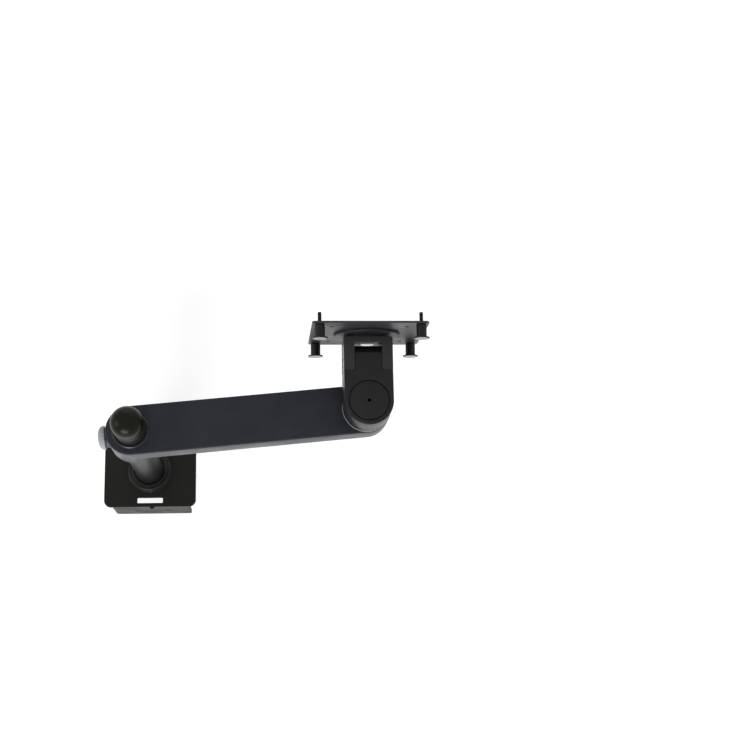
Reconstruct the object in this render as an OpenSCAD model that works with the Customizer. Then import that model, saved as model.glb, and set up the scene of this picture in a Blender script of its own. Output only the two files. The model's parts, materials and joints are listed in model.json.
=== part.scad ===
// Monitor arm: desk clamp, pole, one swinging beam and a tilting, turning screen head.
// Origin on the pole axis at the desk surface, +Z up, +Y from the rear edge of the desk
// towards the user. All lengths in millimetres, all angles in degrees.

/* [Base plate] */
// Width of the base plate
base_w = 106.4; // [90:0.2:140]
// Distance of its middle to the right of the pole axis
base_shift = 0.6; // [-4:0.1:4]
// Distance from the pole axis back to the rear edge of the base plate
base_back = 42.8; // [42:0.2:60]
// Distance from the pole axis forward to the front edge of the base plate
base_front = 48; // [30:1:80]
// Sheet thickness of the base plate
base_t = 3.5; // [3:0.5:6]
// Corner radius of the base plate
base_corner_r = 8; // [3:1:14]
// Thickness of the rubber desk pad under the base plate
pad_t = 1.5; // [1:0.5:4]
// Distance that the desk pad stays inside the edges of the base plate
pad_inset = 1.5; // [0.5:0.5:6]
// Length of the slot through the rear of the base plate
slot_len = 29.6; // [20:0.2:40]
// Width of that slot
slot_w = 6.6; // [5:0.2:9]
// Distance of the slot's centre line behind the pole axis
slot_back = 35; // [34:0.2:50]
// Radius of the half-round locating lug on the rear edge
lug_r = 2.7; // [1.5:0.1:4]
// Distance of the lug to the right of the pole axis
lug_shift = 3; // [-10:0.5:10]
// Thickness of the flange folded down inside the clamp bracket
flange_t = 3; // [2:0.5:5]
// Width of that flange
flange_w = 78; // [60:1:79]
// Drop of that flange below the base plate
flange_drop = 40; // [38:1:44]
// Height of the cut-out in the flange, under the slot
flange_gap_h = 17; // [12:1:18]

/* [Clamp bracket] */
// Width of the clamp bracket
bracket_w = 89.4; // [80:0.2:100]
// Distance of the bracket's middle, and of the clamp screw, to the right of the pole axis
bracket_shift = 2; // [-4:0.5:4]
// Sheet thickness of the clamp bracket
bracket_t = 4; // [3:0.5:6]
// Drop of the clamp bracket below the base plate
bracket_drop = 54.5; // [52:0.5:80]
// Reach of the lower jaw in front of the clamp screw
jaw_front = 18; // [14:1:30]
// Width of the jaw at its front edge
jaw_nose_w = 56; // [40:1:80]
// Corner radius of the bracket
bracket_corner_r = 5; // [2:1:8]
// Length of the slanted sides of the jaw
jaw_taper = 22; // [10:1:26]
// Width of the window in the jaw
window_w = 52; // [30:1:64]
// Length of the window in the jaw, front to back
window_len = 17; // [10:1:20]
// Distance from the rear of the bracket to that window
window_back = 12; // [10:1:16]
// Sideways distance between the two bracket screws
bracket_screw_span = 36; // [24:1:60]
// Distance of the bracket screws below the base plate
bracket_screw_drop = 32; // [26:1:34]
// Thread radius of the bracket screws
bracket_screw_r = 2.5; // [2:0.5:3]

/* [Clamp screw] */
// Thickness of the desk top that the clamp is set to
desk_t = 25; // [12:1:36]
// Distance of the clamp screw in front of the pole axis
clamp_front = 4; // [0:1:10]
// Thread radius of the clamp screw
clamp_r = 5; // [4:0.5:6]
// Length of the clamp screw above its knob
clamp_len = 64; // [60:1:90]
// Radius of the pressure foot
foot_r = 19; // [14:1:22]
// Height of the pressure foot under its pad
foot_h = 6; // [5:0.5:10]
// Thickness of the rubber pad on the pressure foot
foot_pad_t = 2; // [1:0.5:3]
// Height of the nut under the jaw
clamp_nut_h = 8; // [6:1:12]
// Radius of the clamp knob over its lobes
clamp_knob_r = 21; // [16:1:30]
// Height of the clamp knob
clamp_knob_h = 16; // [12:1:30]
// Number of lobes on the clamp knob
clamp_lobes = 6; // [4:1:9]

/* [Pole] */
// Outer radius of the pole
pole_r = 15.875; // [12:0.125:18]
// Wall thickness of the pole
pole_wall = 2; // [1.5:0.5:4]
// Height of the top of the pole above the desk
pole_top = 277.6; // [262:0.2:400]
// Radius of the thin foot of the boss under the pole
boss_r = 25.7; // [25:0.1:32]
// Radius of the boss's wall
boss_wall_r = 24.8; // [21:0.1:24.8]
// Thickness of the boss's foot
boss_foot_h = 1.4; // [1:0.2:4]
// Height of the whole boss
boss_h = 9; // [7:0.5:20]
// Edge radius on top of the boss
boss_edge_r = 2; // [0.5:0.5:4]
// Thread radius of the bolt that holds the pole
pole_bolt_r = 5; // [4:0.5:6]
// Height of the threaded plug in the foot of the pole
plug_h = 20; // [12:1:40]
// Height of the pole cap above the pole
cap_h = 20; // [8:0.5:24]
// Height of the cap's straight side, below its dome
cap_side_h = 6; // [3:0.5:7]
// How far the cap stands out over the pole, all round
cap_lip = 0.3; // [0:0.1:1]
// Depth of the cap's spigot inside the pole
cap_spigot = 12; // [8:1:20]

/* [Beam] */
// Distance from the pole axis to the elbow axis
beam_len = 238.6; // [180:0.2:320]
// Width of the beam
beam_w = 50.2; // [48:0.2:60]
// Height of the beam's side walls
beam_h = 26.8; // [26:0.2:40]
// Height of the beam's top face above the desk, as set
beam_top = 246; // [200:1:250]
// Angle of the beam from the X axis, as set
beam_angle = 5.1; // [-30:0.1:30]
// Height of the hub that turns on the pole
hub_h = 46; // [45:0.5:60]
// Thickness of the beam's side walls
beam_wall = 3; // [2:0.5:4]
// Thickness of the beam's top wall
beam_top_wall = 3.5; // [2.5:0.5:5]
// Thickness of the ribs inside the beam
rib_t = 2; // [1.5:0.5:4]
// Number of bays between the ribs
rib_bays = 5; // [3:1:8]
// Edge radius of the beam
beam_edge_r = 1.4; // [0.8:0.2:2.4]
// Thickness of the cover under the beam
cover_t = 2; // [1.5:0.5:3]
// Thread radius of the cover screws
cover_screw_r = 1.5; // [1.5:0.5:2]
// Length of the cover screws beyond the cover
cover_screw_len = 7; // [4:1:10]

/* [Collar bushes] */
// Wall thickness of the bushes
bush_wall = 1.8; // [1.2:0.2:2.4]
// Length of each bush inside the hub
bush_len = 15; // [10:1:16]
// Radius of the flange on the upper bush
upper_flange_r = 18.9; // [18.5:0.1:22]
// Thickness of the flange on the upper bush
upper_flange_t = 1.5; // [1:0.5:3]
// Radius of the rubber wiper ring let into that flange
wiper_r = 17; // [16.6:0.1:18]
// Thickness of the wiper ring
wiper_t = 0.8; // [0.6:0.1:1]
// Radius of the flange on the lower bush
lower_flange_r = 24.4; // [22:0.2:28]
// Thickness of the flange on the lower bush
lower_flange_t = 2.5; // [1.5:0.5:5]

/* [Lock knob] */
// Radius of the lock knob
lock_knob_r = 12.4; // [9:0.2:16]
// Thickness of the lock knob
lock_knob_t = 7.5; // [7:0.5:14]
// Edge radius of the lock knob's domed face
lock_knob_edge = 3.6; // [1:0.2:5]
// Number of grip grooves round the lock knob
lock_grips = 24; // [12:1:36]
// Height of the lock knob's axis above the bottom of the hub
lock_up = 20; // [18:0.5:26]
// Width of the flat boss behind the lock knob
lock_boss_w = 16.4; // [15:0.2:20]
// Height of that boss
lock_boss_h = 30; // [24:1:32]
// Distance from the pole axis to the face of that boss
lock_boss_reach = 27; // [26:0.1:34]
// Thread radius of the lock screw
lock_r = 4; // [3:0.5:5]
// Radius of the brake shoe on the pole
shoe_r = 5.5; // [5:0.5:7]

/* [Elbow] */
// Width of the head body, and twice the radius of its round end
head_w = 49.3; // [47:0.1:56]
// Height of the head body
head_h = 35.8; // [34:0.1:50]
// Edge radius of the head body's round end
head_edge_r = 1.2; // [0.6:0.2:2]
// Thickness of the flanged washer between the beam and the head body
elbow_washer_t = 2.6; // [1.6:0.1:4]
// Thickness of its flange, which lies under the head body
washer_flange_t = 1.1; // [0.6:0.1:1.4]
// Radius of its flange
elbow_washer_r = 24.9; // [20:0.1:26]
// How far the washer is undercut below its flange
washer_undercut = 1.3; // [0.5:0.1:3]
// Radius of the cap on top of the elbow
elbow_cap_r = 19.5; // [19:0.1:21]
// Width of the groove round the elbow cap
cap_groove = 1.2; // [0.3:0.1:1.4]
// Radius of the hole in the middle of the elbow cap
cap_hole_r = 1.75; // [1:0.25:3]
// Shoulder radius of the elbow pin
elbow_pin_r = 8; // [6:0.5:9]
// Thread radius of the elbow pin
elbow_thread_r = 6; // [5:0.5:6]
// Height of the head body's floor, which the elbow pin clamps
elbow_floor = 14.8; // [10:0.2:18]

/* [Tilt joint] */
// Distance from the elbow axis to the tilt axis
tilt_reach = 39; // [39:0.5:60]
// Rest angle of the screen plate, leaning back
tilt_angle = 4.4; // [-15:0.1:30]
// Width of the tongue between the cheeks
tongue_w = 26.5; // [20:0.5:30]
// Radius of the tongue's round end, about the tilt axis
tongue_r = 20.4; // [18:0.1:20.6]
// Thickness of the friction washers beside the tongue
tilt_washer_t = 0.5; // [0.4:0.1:1.5]
// Radius of the friction washers
tilt_washer_r = 14; // [11:0.5:17]
// Radius of the cheeks' round ends
cheek_r = 18.7; // [18.7:0.1:30]
// Gap between the cheeks' round ends and their seats in the head body
seat_play = 1.2; // [0.5:0.1:2]
// Distance from the tilt axis to the web's inner face
web_reach = 22; // [22:0.5:40]
// Thickness of the web
web_t = 5.6; // [4:0.2:10]
// Corner radius of the yoke beside the web
yoke_corner_r = 2.5; // [1:0.5:5]
// Radius of the tilt bolt
tilt_bolt_r = 5; // [4:0.5:6]
// Radius of the tilt bolt's head
tilt_head_r = 8; // [8:0.5:9]
// Depth of the counterbores for the tilt bolt's head and nut
tilt_sink = 5.5; // [5:0.5:6.5]
// Radius of the grub screws in the cheeks
grub_r = 2; // [1.5:0.5:2.5]
// Depth of their holes
grub_depth = 6; // [5:0.5:8]
// Distance of the grub screws from the tilt axis, to the front and to the back
grub_back = 14.5; // [13:0.5:15]

/* [Screen plate] */
// Width and height of the square screen plate
plate_w = 115; // [112:1:130]
// Thickness of the screen plate
plate_t = 2; // [1.6:0.2:4]
// Corner radius of the screen plate
plate_corner_r = 5; // [2:0.5:8]
// Small hole pattern, centre to centre
small_pitch = 75; // [75:1:75]
// Large hole pattern, centre to centre
large_pitch = 100; // [100:1:100]
// Radius of the screw holes
plate_hole_r = 2.3; // [2.2:0.1:2.6]
// Sideways distance between the extra holes
extra_span_x = 56; // [54:1:66]
// Upright distance between the extra holes
extra_span_z = 42; // [40:1:56]
// Radius of the extra holes
extra_hole_r = 1.7; // [1:0.1:2.5]
// Radius of the rotation disc
disc_r = 33.5; // [24:0.5:34]
// Thickness of the rotation disc
disc_t = 3; // [2:0.5:5]
// Radius of the spacer between the web and the rotation disc
spacer_r = 20; // [14:0.5:24]
// Thickness of that spacer
spacer_t = 2.4; // [1:0.2:4]
// Radius of the rotation pivot
pivot_r = 4; // [3:0.5:5]
// Radius of the pivot's head
pivot_head_r = 6.8; // [6:0.2:11]
// Depth of the pivot's countersunk head
pivot_sink = 2.2; // [1:0.2:3]

/* [Thumb screws] */
// Length of a thumb screw behind the plate
thumb_len = 14.3; // [10:0.1:30]
// Radius of its grip
thumb_r = 5.1; // [4:0.1:8]
// Radius of its end flange
thumb_flange_r = 7.9; // [6:0.1:8.4]
// Thickness of its end flange
thumb_flange_t = 1.8; // [1:0.2:4]
// Thread radius of the stud, M4
stud_r = 2; // [2:0.1:2]
// Radius of the stud's neck, inside the plate
stud_neck_r = 1.6; // [1.2:0.1:1.8]
// Length of the stud in front of the plate
stud_len = 10; // [6:1:16]

/* [Clearances] */
// Radial clearance of a turning or sliding fit
running = 0.08; // [0.02:0.01:0.1]
// Gap between faces that slide on each other
face_gap = 0.1; // [0.05:0.05:0.2]
// Gap round a piece that is let into another
let_in = 0.2; // [0.1:0.1:0.4]

/* [Hidden] */
$fn = 96;

black = [0.10, 0.10, 0.11];
dark_blue_grey = [0.21, 0.22, 0.25];
dark_grey = [0.30, 0.30, 0.31];
light_grey = [0.70, 0.71, 0.72];
steel = [0.62, 0.63, 0.65];
rubber = [0.06, 0.06, 0.06];

cut = 1;                                          // overrun of cutting tools
base_top = pad_t + base_t;
rear_y = -base_back;
flange_y = rear_y + bracket_t;                    // flange's rear face, on the bracket
slot_y = -slot_back;
bend_r = 3;                                       // inside radius of the bracket's bend
bracket_bottom = pad_t - bracket_drop;
jaw_top = bracket_bottom + bracket_t;
foot_top = -desk_t;                               // face that presses on the desk
foot_under = foot_top - foot_pad_t - foot_h;
socket_depth = foot_h - 2;                        // clamp screw's tip inside the foot
screw_bottom = foot_under + socket_depth - face_gap - clamp_len;
knob_up = 12;                                     // clamp screw's length inside its knob
bolt_head_r = 2 * pole_bolt_r - 1.2;
bolt_head_h = base_t - 0.6;
pole_in_r = pole_r - pole_wall;
cap_r = pole_r + cap_lip;
cap_wall = 1.5;                                   // wall of the pole cap's spigot
beam_bottom = beam_top - beam_h;
hub_r = beam_w / 2;
hub_bottom = beam_top - hub_h;
bush_in_r = pole_r + running;
bush_out_r = bush_in_r + bush_wall;
hub_bore_r = bush_out_r + running;
lock_z = hub_bottom + lock_up;
lower_bush_len = min(bush_len, lock_up - shoe_r - face_gap);
upper_bush_len = min(bush_len, hub_h - lock_up - shoe_r - face_gap);
shoe_face = pole_r + 3 * face_gap;                // the shoe's face, clear of the pole
shoe_back = shoe_face + 4.5;
shoe_pocket = shoe_back + 1.3;                    // room for the shoe to draw back
knob_seat = lock_boss_reach + 3 * face_gap;       // lock knob's rear face
knob_bore = 4.7;                                  // how far the lock screw reaches into it
washer_top = beam_top + elbow_washer_t;
head_r = head_w / 2;
head_bottom = washer_top + face_gap;
head_top = head_bottom + head_h;
tilt_z = head_bottom + head_h / 2;
floor_z = head_bottom + elbow_floor;
cap_plate_t = 3;                                  // thickness of the elbow cap's disc
pocket_r = elbow_cap_r - 2.7;
top_washer_t = 1;
pin_head_r = 13;
pin_head_t = 5;
elbow_boss_r = 12;
spring_t = 2;                                     // height of the pair of disc springs
elbow_nut_h = 8;
elbow_nut_r = 11;
elbow_boss_bottom = beam_bottom + cover_t + 1 + elbow_nut_h + spring_t;
yoke_gap = tongue_w + 2 * (tilt_washer_t + face_gap);
seat_r = cheek_r + seat_play;
half_h = head_h / 2;
plate_y = web_reach + web_t + spacer_t + disc_t;  // plate's rear face from the tilt axis
pivot_flare = 1.8;                                // how far the pivot's end is flared

// ---------------------------------------------------------------- shapes

// Points on an arc about (cx, cy)
function arc(cx, cy, r, a0, a1, n = 4) =
    [for (i = [0 : n]) let (a = a0 + (a1 - a0) * i / n) [cx + r * cos(a), cy + r * sin(a)]];

// Half section, r wide and h high, with rounded outer edges
module half_section(r, h, top_edge, bottom_edge) {
    polygon(concat([[0, 0]],
                   arc(r - bottom_edge, bottom_edge, bottom_edge, -90, 0),
                   arc(r - top_edge, h - top_edge, top_edge, 0, 90),
                   [[0, h]]));
}

// Upright round body with rounded edges
module round_body(r, h, top_edge, bottom_edge) {
    rotate_extrude() half_section(r, h, top_edge, bottom_edge);
}

// Bar along +X with the same section on both sides
module bar_body(len, r, h, top_edge, bottom_edge) {
    rotate([90, 0, 90]) linear_extrude(len) {
        half_section(r, h, top_edge, bottom_edge);
        mirror([1, 0]) half_section(r, h, top_edge, bottom_edge);
    }
}

// Flat outline with round corners, centred
module rounded_rect(w, d, r) {
    square([w - 2 * r, d], center = true);
    square([w, d - 2 * r], center = true);
    for (x = [-1, 1], y = [-1, 1]) translate([x * (w / 2 - r), y * (d / 2 - r)]) circle(r);
}

// Upright ring
module ring(outer, inner, h) {
    difference() {
        cylinder(r = outer, h = h);
        translate([0, 0, -cut]) cylinder(r = inner, h = h + 2 * cut);
    }
}

// Round bar along +X from the origin
module bar_x(r, len) {
    rotate([0, 90, 0]) cylinder(r = r, h = len);
}

// Round bar along +Y from the origin
module bar_y(r, len) {
    rotate([-90, 0, 0]) cylinder(r = r, h = len);
}

// Hexagonal socket that points down from the origin
module hex_socket(across, depth) {
    translate([0, 0, -depth]) cylinder(r = across / sqrt(3), h = depth + cut, $fn = 6);
}

// ---------------------------------------------------------------- frames of the bodies

// Beam's frame: X along the beam, Z from the desk
module in_beam() {
    rotate([0, 0, beam_angle]) children();
}

// Head's frame: origin on the elbow axis, Y towards the screen plate
module at_elbow() {
    translate([beam_len * cos(beam_angle), beam_len * sin(beam_angle), 0]) children();
}

// Tilt frame: origin on the tilt axis, Y square to the screen plate
module at_tilt() {
    at_elbow() translate([0, tilt_reach, tilt_z]) rotate([tilt_angle, 0, 0]) children();
}

// ---------------------------------------------------------------- clamp and pole

module base_plate() {
    color(black) difference() {
        union() {
            translate([base_shift, (base_front - base_back) / 2, pad_t])
                linear_extrude(base_t)
                    rounded_rect(base_w, base_front + base_back, base_corner_r);
            translate([lug_shift, rear_y, pad_t]) cylinder(r = lug_r, h = base_t, $fn = 48);
            rear_flange();
        }
        base_slot(base_t);
        translate([0, 0, pad_t - cut]) cylinder(r = pole_bolt_r + let_in, h = base_t + 2 * cut);
        translate([0, 0, pad_t - 0.01])
            cylinder(r1 = bolt_head_r + let_in, r2 = pole_bolt_r + let_in, h = bolt_head_h);
    }
}

// Tool for the slot, from below the desk pad to above a plate of the given thickness on it
module base_slot(plate_t) {
    translate([base_shift, slot_y, -cut]) linear_extrude(pad_t + plate_t + 2 * cut)
        rounded_rect(slot_len, slot_w, 1.2);
}

// Flange folded down from the base plate, with a cut-out that keeps the slot clear
module rear_flange() {
    gap_w = slot_len + 2;
    difference() {
        translate([bracket_shift, flange_y + flange_t, pad_t]) rotate([90, 0, 0])
            linear_extrude(flange_t) difference() {
                translate([0, (cut - flange_drop) / 2])
                    rounded_rect(flange_w, flange_drop + cut, 4);
                translate([base_shift - bracket_shift, -flange_gap_h / 2])
                    rounded_rect(gap_w, flange_gap_h, 1);
            }
        for (side = [-1, 1]) bracket_screw_at(side)
            bar_y(bracket_screw_r + running, bracket_t + flange_t + 2 * cut);
    }
}

// Place of a bracket screw: its axis, from just behind the bracket
module bracket_screw_at(side) {
    translate([bracket_shift + side * bracket_screw_span / 2, rear_y - cut,
               pad_t - bracket_screw_drop]) children();
}

module desk_pad() {
    pad_back = flange_y + flange_t + let_in;
    pad_front = base_front - pad_inset;
    color(rubber) difference() {
        translate([base_shift, (pad_front + pad_back) / 2, 0]) linear_extrude(pad_t)
            rounded_rect(base_w - 2 * pad_inset, pad_front - pad_back, base_corner_r - pad_inset);
        base_slot(0);
    }
}

// Frame of the clamp: origin on the clamp screw's axis at the desk surface
module at_clamp() {
    translate([bracket_shift, clamp_front, 0]) children();
}

module clamp_bracket() {
    color(dark_grey) difference() {
        translate([bracket_shift, 0, 0]) {
            translate([0, flange_y, pad_t - bracket_drop / 2]) rotate([90, 0, 0])
                linear_extrude(bracket_t)
                    rounded_rect(bracket_w, bracket_drop, bracket_corner_r);
            translate([0, rear_y, bracket_bottom]) linear_extrude(bracket_t)
                jaw_outline(base_back + clamp_front + jaw_front);
            bracket_fillet();
        }
        translate([bracket_shift, rear_y + window_back + window_len / 2, bracket_bottom - cut])
            linear_extrude(bracket_t + 2 * cut)
                rounded_rect(window_w, window_len, 4);
        at_clamp() translate([0, 0, bracket_bottom - cut])
            cylinder(r = clamp_r + running, h = bracket_t + 2 * cut);
        for (side = [-1, 1]) bracket_screw_at(side)
            bar_y(bracket_screw_r + running, bracket_t + 2 * cut);
    }
}

// Jaw seen from above, from its bend at y = 0 to its nose, with slanted sides
module jaw_outline(len) {
    half = bracket_w / 2 - bracket_corner_r;
    nose = jaw_nose_w / 2;
    polygon([[-half, 0], [half, 0], [half, len - jaw_taper], [nose, len], [-nose, len],
             [-half, len - jaw_taper]]);
}

// Inside radius of the bend between the bracket's back and its jaw
module bracket_fillet() {
    w = bracket_w - 2 * bracket_corner_r;
    translate([-w / 2, flange_y, jaw_top]) rotate([90, 0, 90]) linear_extrude(w)
        difference() {
            translate([-0.5, -0.5]) square(bend_r + 0.5);
            translate([bend_r, bend_r]) circle(bend_r, $fn = 48);
        }
}

module bracket_screws() {
    head_h = 1.6;
    color(dark_grey) for (side = [-1, 1])
        bracket_screw_at(side) translate([0, cut - head_h, 0]) difference() {
            union() {
                bar_y(2 * bracket_screw_r, head_h);
                bar_y(bracket_screw_r, head_h + bracket_t + flange_t);
            }
            rotate([90, 0, 0]) hex_socket(1.2 * bracket_screw_r, 1.1);
        }
}

module clamp_nut() {
    color(steel) at_clamp() translate([0, 0, bracket_bottom - clamp_nut_h]) difference() {
        cylinder(r = 1.96 * clamp_r, h = clamp_nut_h, $fn = 6);
        translate([0, 0, -cut]) cylinder(r = clamp_r + running, h = clamp_nut_h + 2 * cut);
    }
}

// Round boss with a thin foot, a tall wall and a rounded upper edge
module pole_boss() {
    bore = pole_r + 0.05;
    color(black) translate([0, 0, base_top]) rotate_extrude()
        polygon(concat([[bore, 0], [boss_r, 0], [boss_r, boss_foot_h - 0.4],
                        [boss_r - 0.4, boss_foot_h], [boss_wall_r, boss_foot_h]],
                       arc(boss_wall_r - boss_edge_r, boss_h - boss_edge_r, boss_edge_r, 0, 90),
                       [[bore, boss_h]]));
}

module pole_plug() {
    color(steel) translate([0, 0, base_top])
        ring(pole_in_r, pole_bolt_r + 0.05, plug_h);
}

module pole_bolt() {
    color(steel) translate([0, 0, pad_t]) difference() {
        union() {
            cylinder(r1 = bolt_head_r, r2 = pole_bolt_r, h = bolt_head_h);
            cylinder(r = pole_bolt_r, h = base_t + plug_h - 2);
        }
        mirror([0, 0, 1]) hex_socket(1.1 * pole_bolt_r, bolt_head_h - 0.5);
    }
}

module pole() {
    color(dark_grey) translate([0, 0, base_top])
        ring(pole_r, pole_in_r, pole_top - base_top);
}

// Cap with a straight side, a high dome and a hollow spigot in the pole
module pole_cap() {
    spigot_r = pole_in_r - 0.05;
    dome_h = cap_h - cap_side_h;
    color(black) translate([0, 0, pole_top]) rotate_extrude()
        polygon(concat([[0, cap_side_h - 2], [0, cap_h]],
                       [for (a = [80 : -10 : 0]) [cap_r * cos(a), cap_side_h + dome_h * sin(a)]],
                       [[cap_r, 0], [spigot_r, 0], [spigot_r, -cap_spigot],
                        [spigot_r - cap_wall, -cap_spigot],
                        [spigot_r - cap_wall, cap_side_h - 2]]));
}

// ---------------------------------------------------------------- pressure foot

module pressure_foot() {
    rim_h = 2;
    color(black) at_clamp() translate([0, 0, foot_under]) difference() {
        union() {
            cylinder(r1 = foot_r - 5, r2 = foot_r, h = foot_h - rim_h);
            translate([0, 0, foot_h - rim_h - 0.01]) cylinder(r = foot_r, h = rim_h + 0.01);
        }
        translate([0, 0, -cut]) cylinder(r = clamp_r + running, h = socket_depth + cut);
    }
}

module foot_pad() {
    color(rubber) at_clamp() translate([0, 0, foot_top - foot_pad_t])
        cylinder(r = foot_r, h = foot_pad_t);
}

module clamp_screw() {
    color(steel) at_clamp() translate([0, 0, screw_bottom]) union() {
        cylinder(r = clamp_r, h = clamp_len - 1);
        translate([0, 0, clamp_len - 1.001])
            cylinder(r1 = clamp_r, r2 = clamp_r - 1, h = 1.001);
    }
}

// Moulded star knob round the lower end of the clamp screw
module clamp_knob() {
    lobe_r = 0.3 * clamp_knob_r;
    core_r = clamp_knob_r - 1.5 * lobe_r;
    collar_h = 4;
    color(black) at_clamp() translate([0, 0, screw_bottom + knob_up - clamp_knob_h])
        difference() {
            union() {
                linear_extrude(clamp_knob_h - collar_h) {
                    circle(core_r);
                    for (i = [0 : clamp_lobes - 1]) rotate(i * 360 / clamp_lobes)
                        translate([clamp_knob_r - lobe_r, 0]) circle(lobe_r, $fn = 36);
                }
                translate([0, 0, clamp_knob_h - collar_h - 0.01])
                    cylinder(r1 = core_r, r2 = core_r - 4, h = collar_h + 0.01);
            }
            translate([0, 0, clamp_knob_h - knob_up]) cylinder(r = clamp_r, h = clamp_knob_h);
        }
}

// ---------------------------------------------------------------- bushes and beam

module upper_bush() {
    color(black) translate([0, 0, beam_top - upper_bush_len]) difference() {
        union() {
            ring(bush_out_r, bush_in_r, upper_bush_len + face_gap + 0.5);
            translate([0, 0, upper_bush_len + face_gap])
                ring(upper_flange_r, bush_in_r, upper_flange_t);
        }
        translate([0, 0, upper_bush_len + face_gap + upper_flange_t - wiper_t - let_in])
            cylinder(r = wiper_r, h = wiper_t + let_in + cut);
    }
}

// Rubber ring that keeps dust out of the sliding fit
module pole_wiper() {
    color(rubber)
        translate([0, 0, beam_top + face_gap + upper_flange_t - wiper_t - let_in])
            ring(wiper_r, bush_in_r + let_in, wiper_t);
}

module lower_bush() {
    color(light_grey) translate([0, 0, hub_bottom - face_gap - lower_flange_t]) {
        ring(bush_out_r, bush_in_r, lower_flange_t + face_gap + lower_bush_len);
        difference() {
            round_body(lower_flange_r, lower_flange_t, 0.6, 0.6);
            translate([0, 0, -cut]) cylinder(r = bush_in_r, h = lower_flange_t + 2 * cut);
        }
    }
}

// Outline of the hollow inside the beam, drawn in by gap all round
module beam_hollow(gap = 0) {
    half = hub_r - beam_wall - gap;
    difference() {
        union() {
            translate([0, -half]) square([beam_len, 2 * half]);
            translate([beam_len, 0]) circle(half);
        }
        circle(hub_r + gap);
    }
}

// Cross ribs and one diagonal in each bay
module beam_ribs() {
    half = hub_r - beam_wall + 0.5;
    first = hub_r + 4;
    bay = (beam_len - hub_r - first) / rib_bays;
    for (i = [0 : rib_bays]) translate([first + i * bay - rib_t / 2, -half])
        square([rib_t, 2 * half]);
    for (i = [0 : rib_bays - 1]) {
        side = i % 2 == 0 ? 1 : -1;
        translate([first + (i + 0.5) * bay, 0]) rotate(side * atan2(2 * half, bay))
            square([sqrt(4 * half * half + bay * bay) - 2, rib_t], center = true);
    }
    translate([beam_len, 0]) circle(elbow_boss_r);
    for (x = cover_screw_x()) translate([x, 0]) circle(3.5, $fn = 36);
}

// Places of the cover screws along the beam
function cover_screw_x() =
    let (first = hub_r + 4, bay = (beam_len - hub_r - first) / rib_bays)
    [first + bay, first + (rib_bays - 1) * bay];

module beam() {
    hollow_top = beam_top - beam_top_wall;
    color(dark_blue_grey) in_beam() difference() {
        union() {
            translate([0, 0, beam_bottom]) {
                bar_body(beam_len, hub_r, beam_h, beam_edge_r, 0.6);
                translate([beam_len, 0, 0]) round_body(hub_r, beam_h, beam_edge_r, 0.6);
            }
            translate([0, 0, hub_bottom]) round_body(hub_r, hub_h, beam_edge_r, 1);
            translate([0, 0, lock_z]) rotate([0, -90, 0]) linear_extrude(lock_boss_reach)
                rounded_rect(lock_boss_h, lock_boss_w, 3);
        }
        translate([0, 0, beam_bottom - cut]) linear_extrude(cut + cover_t) beam_hollow();
        translate([0, 0, beam_bottom]) linear_extrude(hollow_top - beam_bottom)
            difference() {
                beam_hollow();
                beam_ribs();
            }
        translate([beam_len, 0, beam_bottom])
            cylinder(r = elbow_boss_r + 0.2, h = elbow_boss_bottom - beam_bottom);
        translate([beam_len, 0, beam_bottom])
            cylinder(r = elbow_thread_r + 0.1, h = beam_h + cut);
        translate([beam_len, 0, beam_top - 4]) cylinder(r = elbow_pin_r + 0.05, h = 4 + cut);
        translate([0, 0, hub_bottom - cut]) cylinder(r = hub_bore_r, h = hub_h + 2 * cut);
        translate([0, 0, lock_z]) rotate([0, -90, 0]) {
            cylinder(r = lock_r + running, h = lock_boss_reach + cut);
            cylinder(r = shoe_r + running, h = shoe_pocket);
        }
        for (x = cover_screw_x()) translate([x, 0, beam_bottom])
            cylinder(r = cover_screw_r, h = cover_t + cover_screw_len + 1, $fn = 36);
    }
}

module beam_cover() {
    color(black) in_beam() difference() {
        translate([0, 0, beam_bottom]) linear_extrude(cover_t) beam_hollow(let_in);
        for (x = cover_screw_x()) translate([x, 0, beam_bottom - cut])
            cylinder(r = cover_screw_r + let_in, h = cover_t + 2 * cut, $fn = 36);
    }
}

module cover_screws() {
    head_h = cover_screw_r;
    color(steel) in_beam() for (x = cover_screw_x())
        translate([x, 0, beam_bottom - head_h]) {
            cylinder(r1 = 1.5 * cover_screw_r, r2 = 1.9 * cover_screw_r, h = head_h, $fn = 36);
            cylinder(r = cover_screw_r - 0.02, h = head_h + cover_t + cover_screw_len, $fn = 36);
        }
}

// ---------------------------------------------------------------- lock knob

// Frame of the lock: Z away from the pole, opposite to the beam
module at_lock() {
    in_beam() translate([0, 0, lock_z]) rotate([0, -90, 0]) children();
}

// Brake shoe with a hollow face that matches the pole
module lock_shoe() {
    blank = 2;
    color(steel) at_lock() difference() {
        translate([0, 0, pole_r - blank]) cylinder(r = shoe_r, h = shoe_back - pole_r + blank);
        rotate([0, 90, 0]) translate([0, 0, -2 * shoe_r]) cylinder(r = shoe_face, h = 4 * shoe_r);
    }
}

module lock_screw() {
    start = shoe_back + face_gap;
    color(steel) at_lock() translate([0, 0, start])
        cylinder(r = lock_r, h = knob_seat + knob_bore - start);
}

// Domed knob with fine grip grooves round its rim
module lock_knob() {
    groove_r = 1;
    groove_depth = 0.4;
    color(light_grey) at_lock() translate([0, 0, knob_seat]) difference() {
        round_body(lock_knob_r, lock_knob_t, lock_knob_edge, 0.8);
        translate([0, 0, -cut]) cylinder(r = lock_r, h = knob_bore + cut);
        for (i = [0 : lock_grips - 1]) rotate(i * 360 / lock_grips)
            translate([lock_knob_r + groove_r - groove_depth, 0, -cut])
                cylinder(r = groove_r, h = lock_knob_t + 2 * cut, $fn = 16);
    }
}

// ---------------------------------------------------------------- elbow

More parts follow.
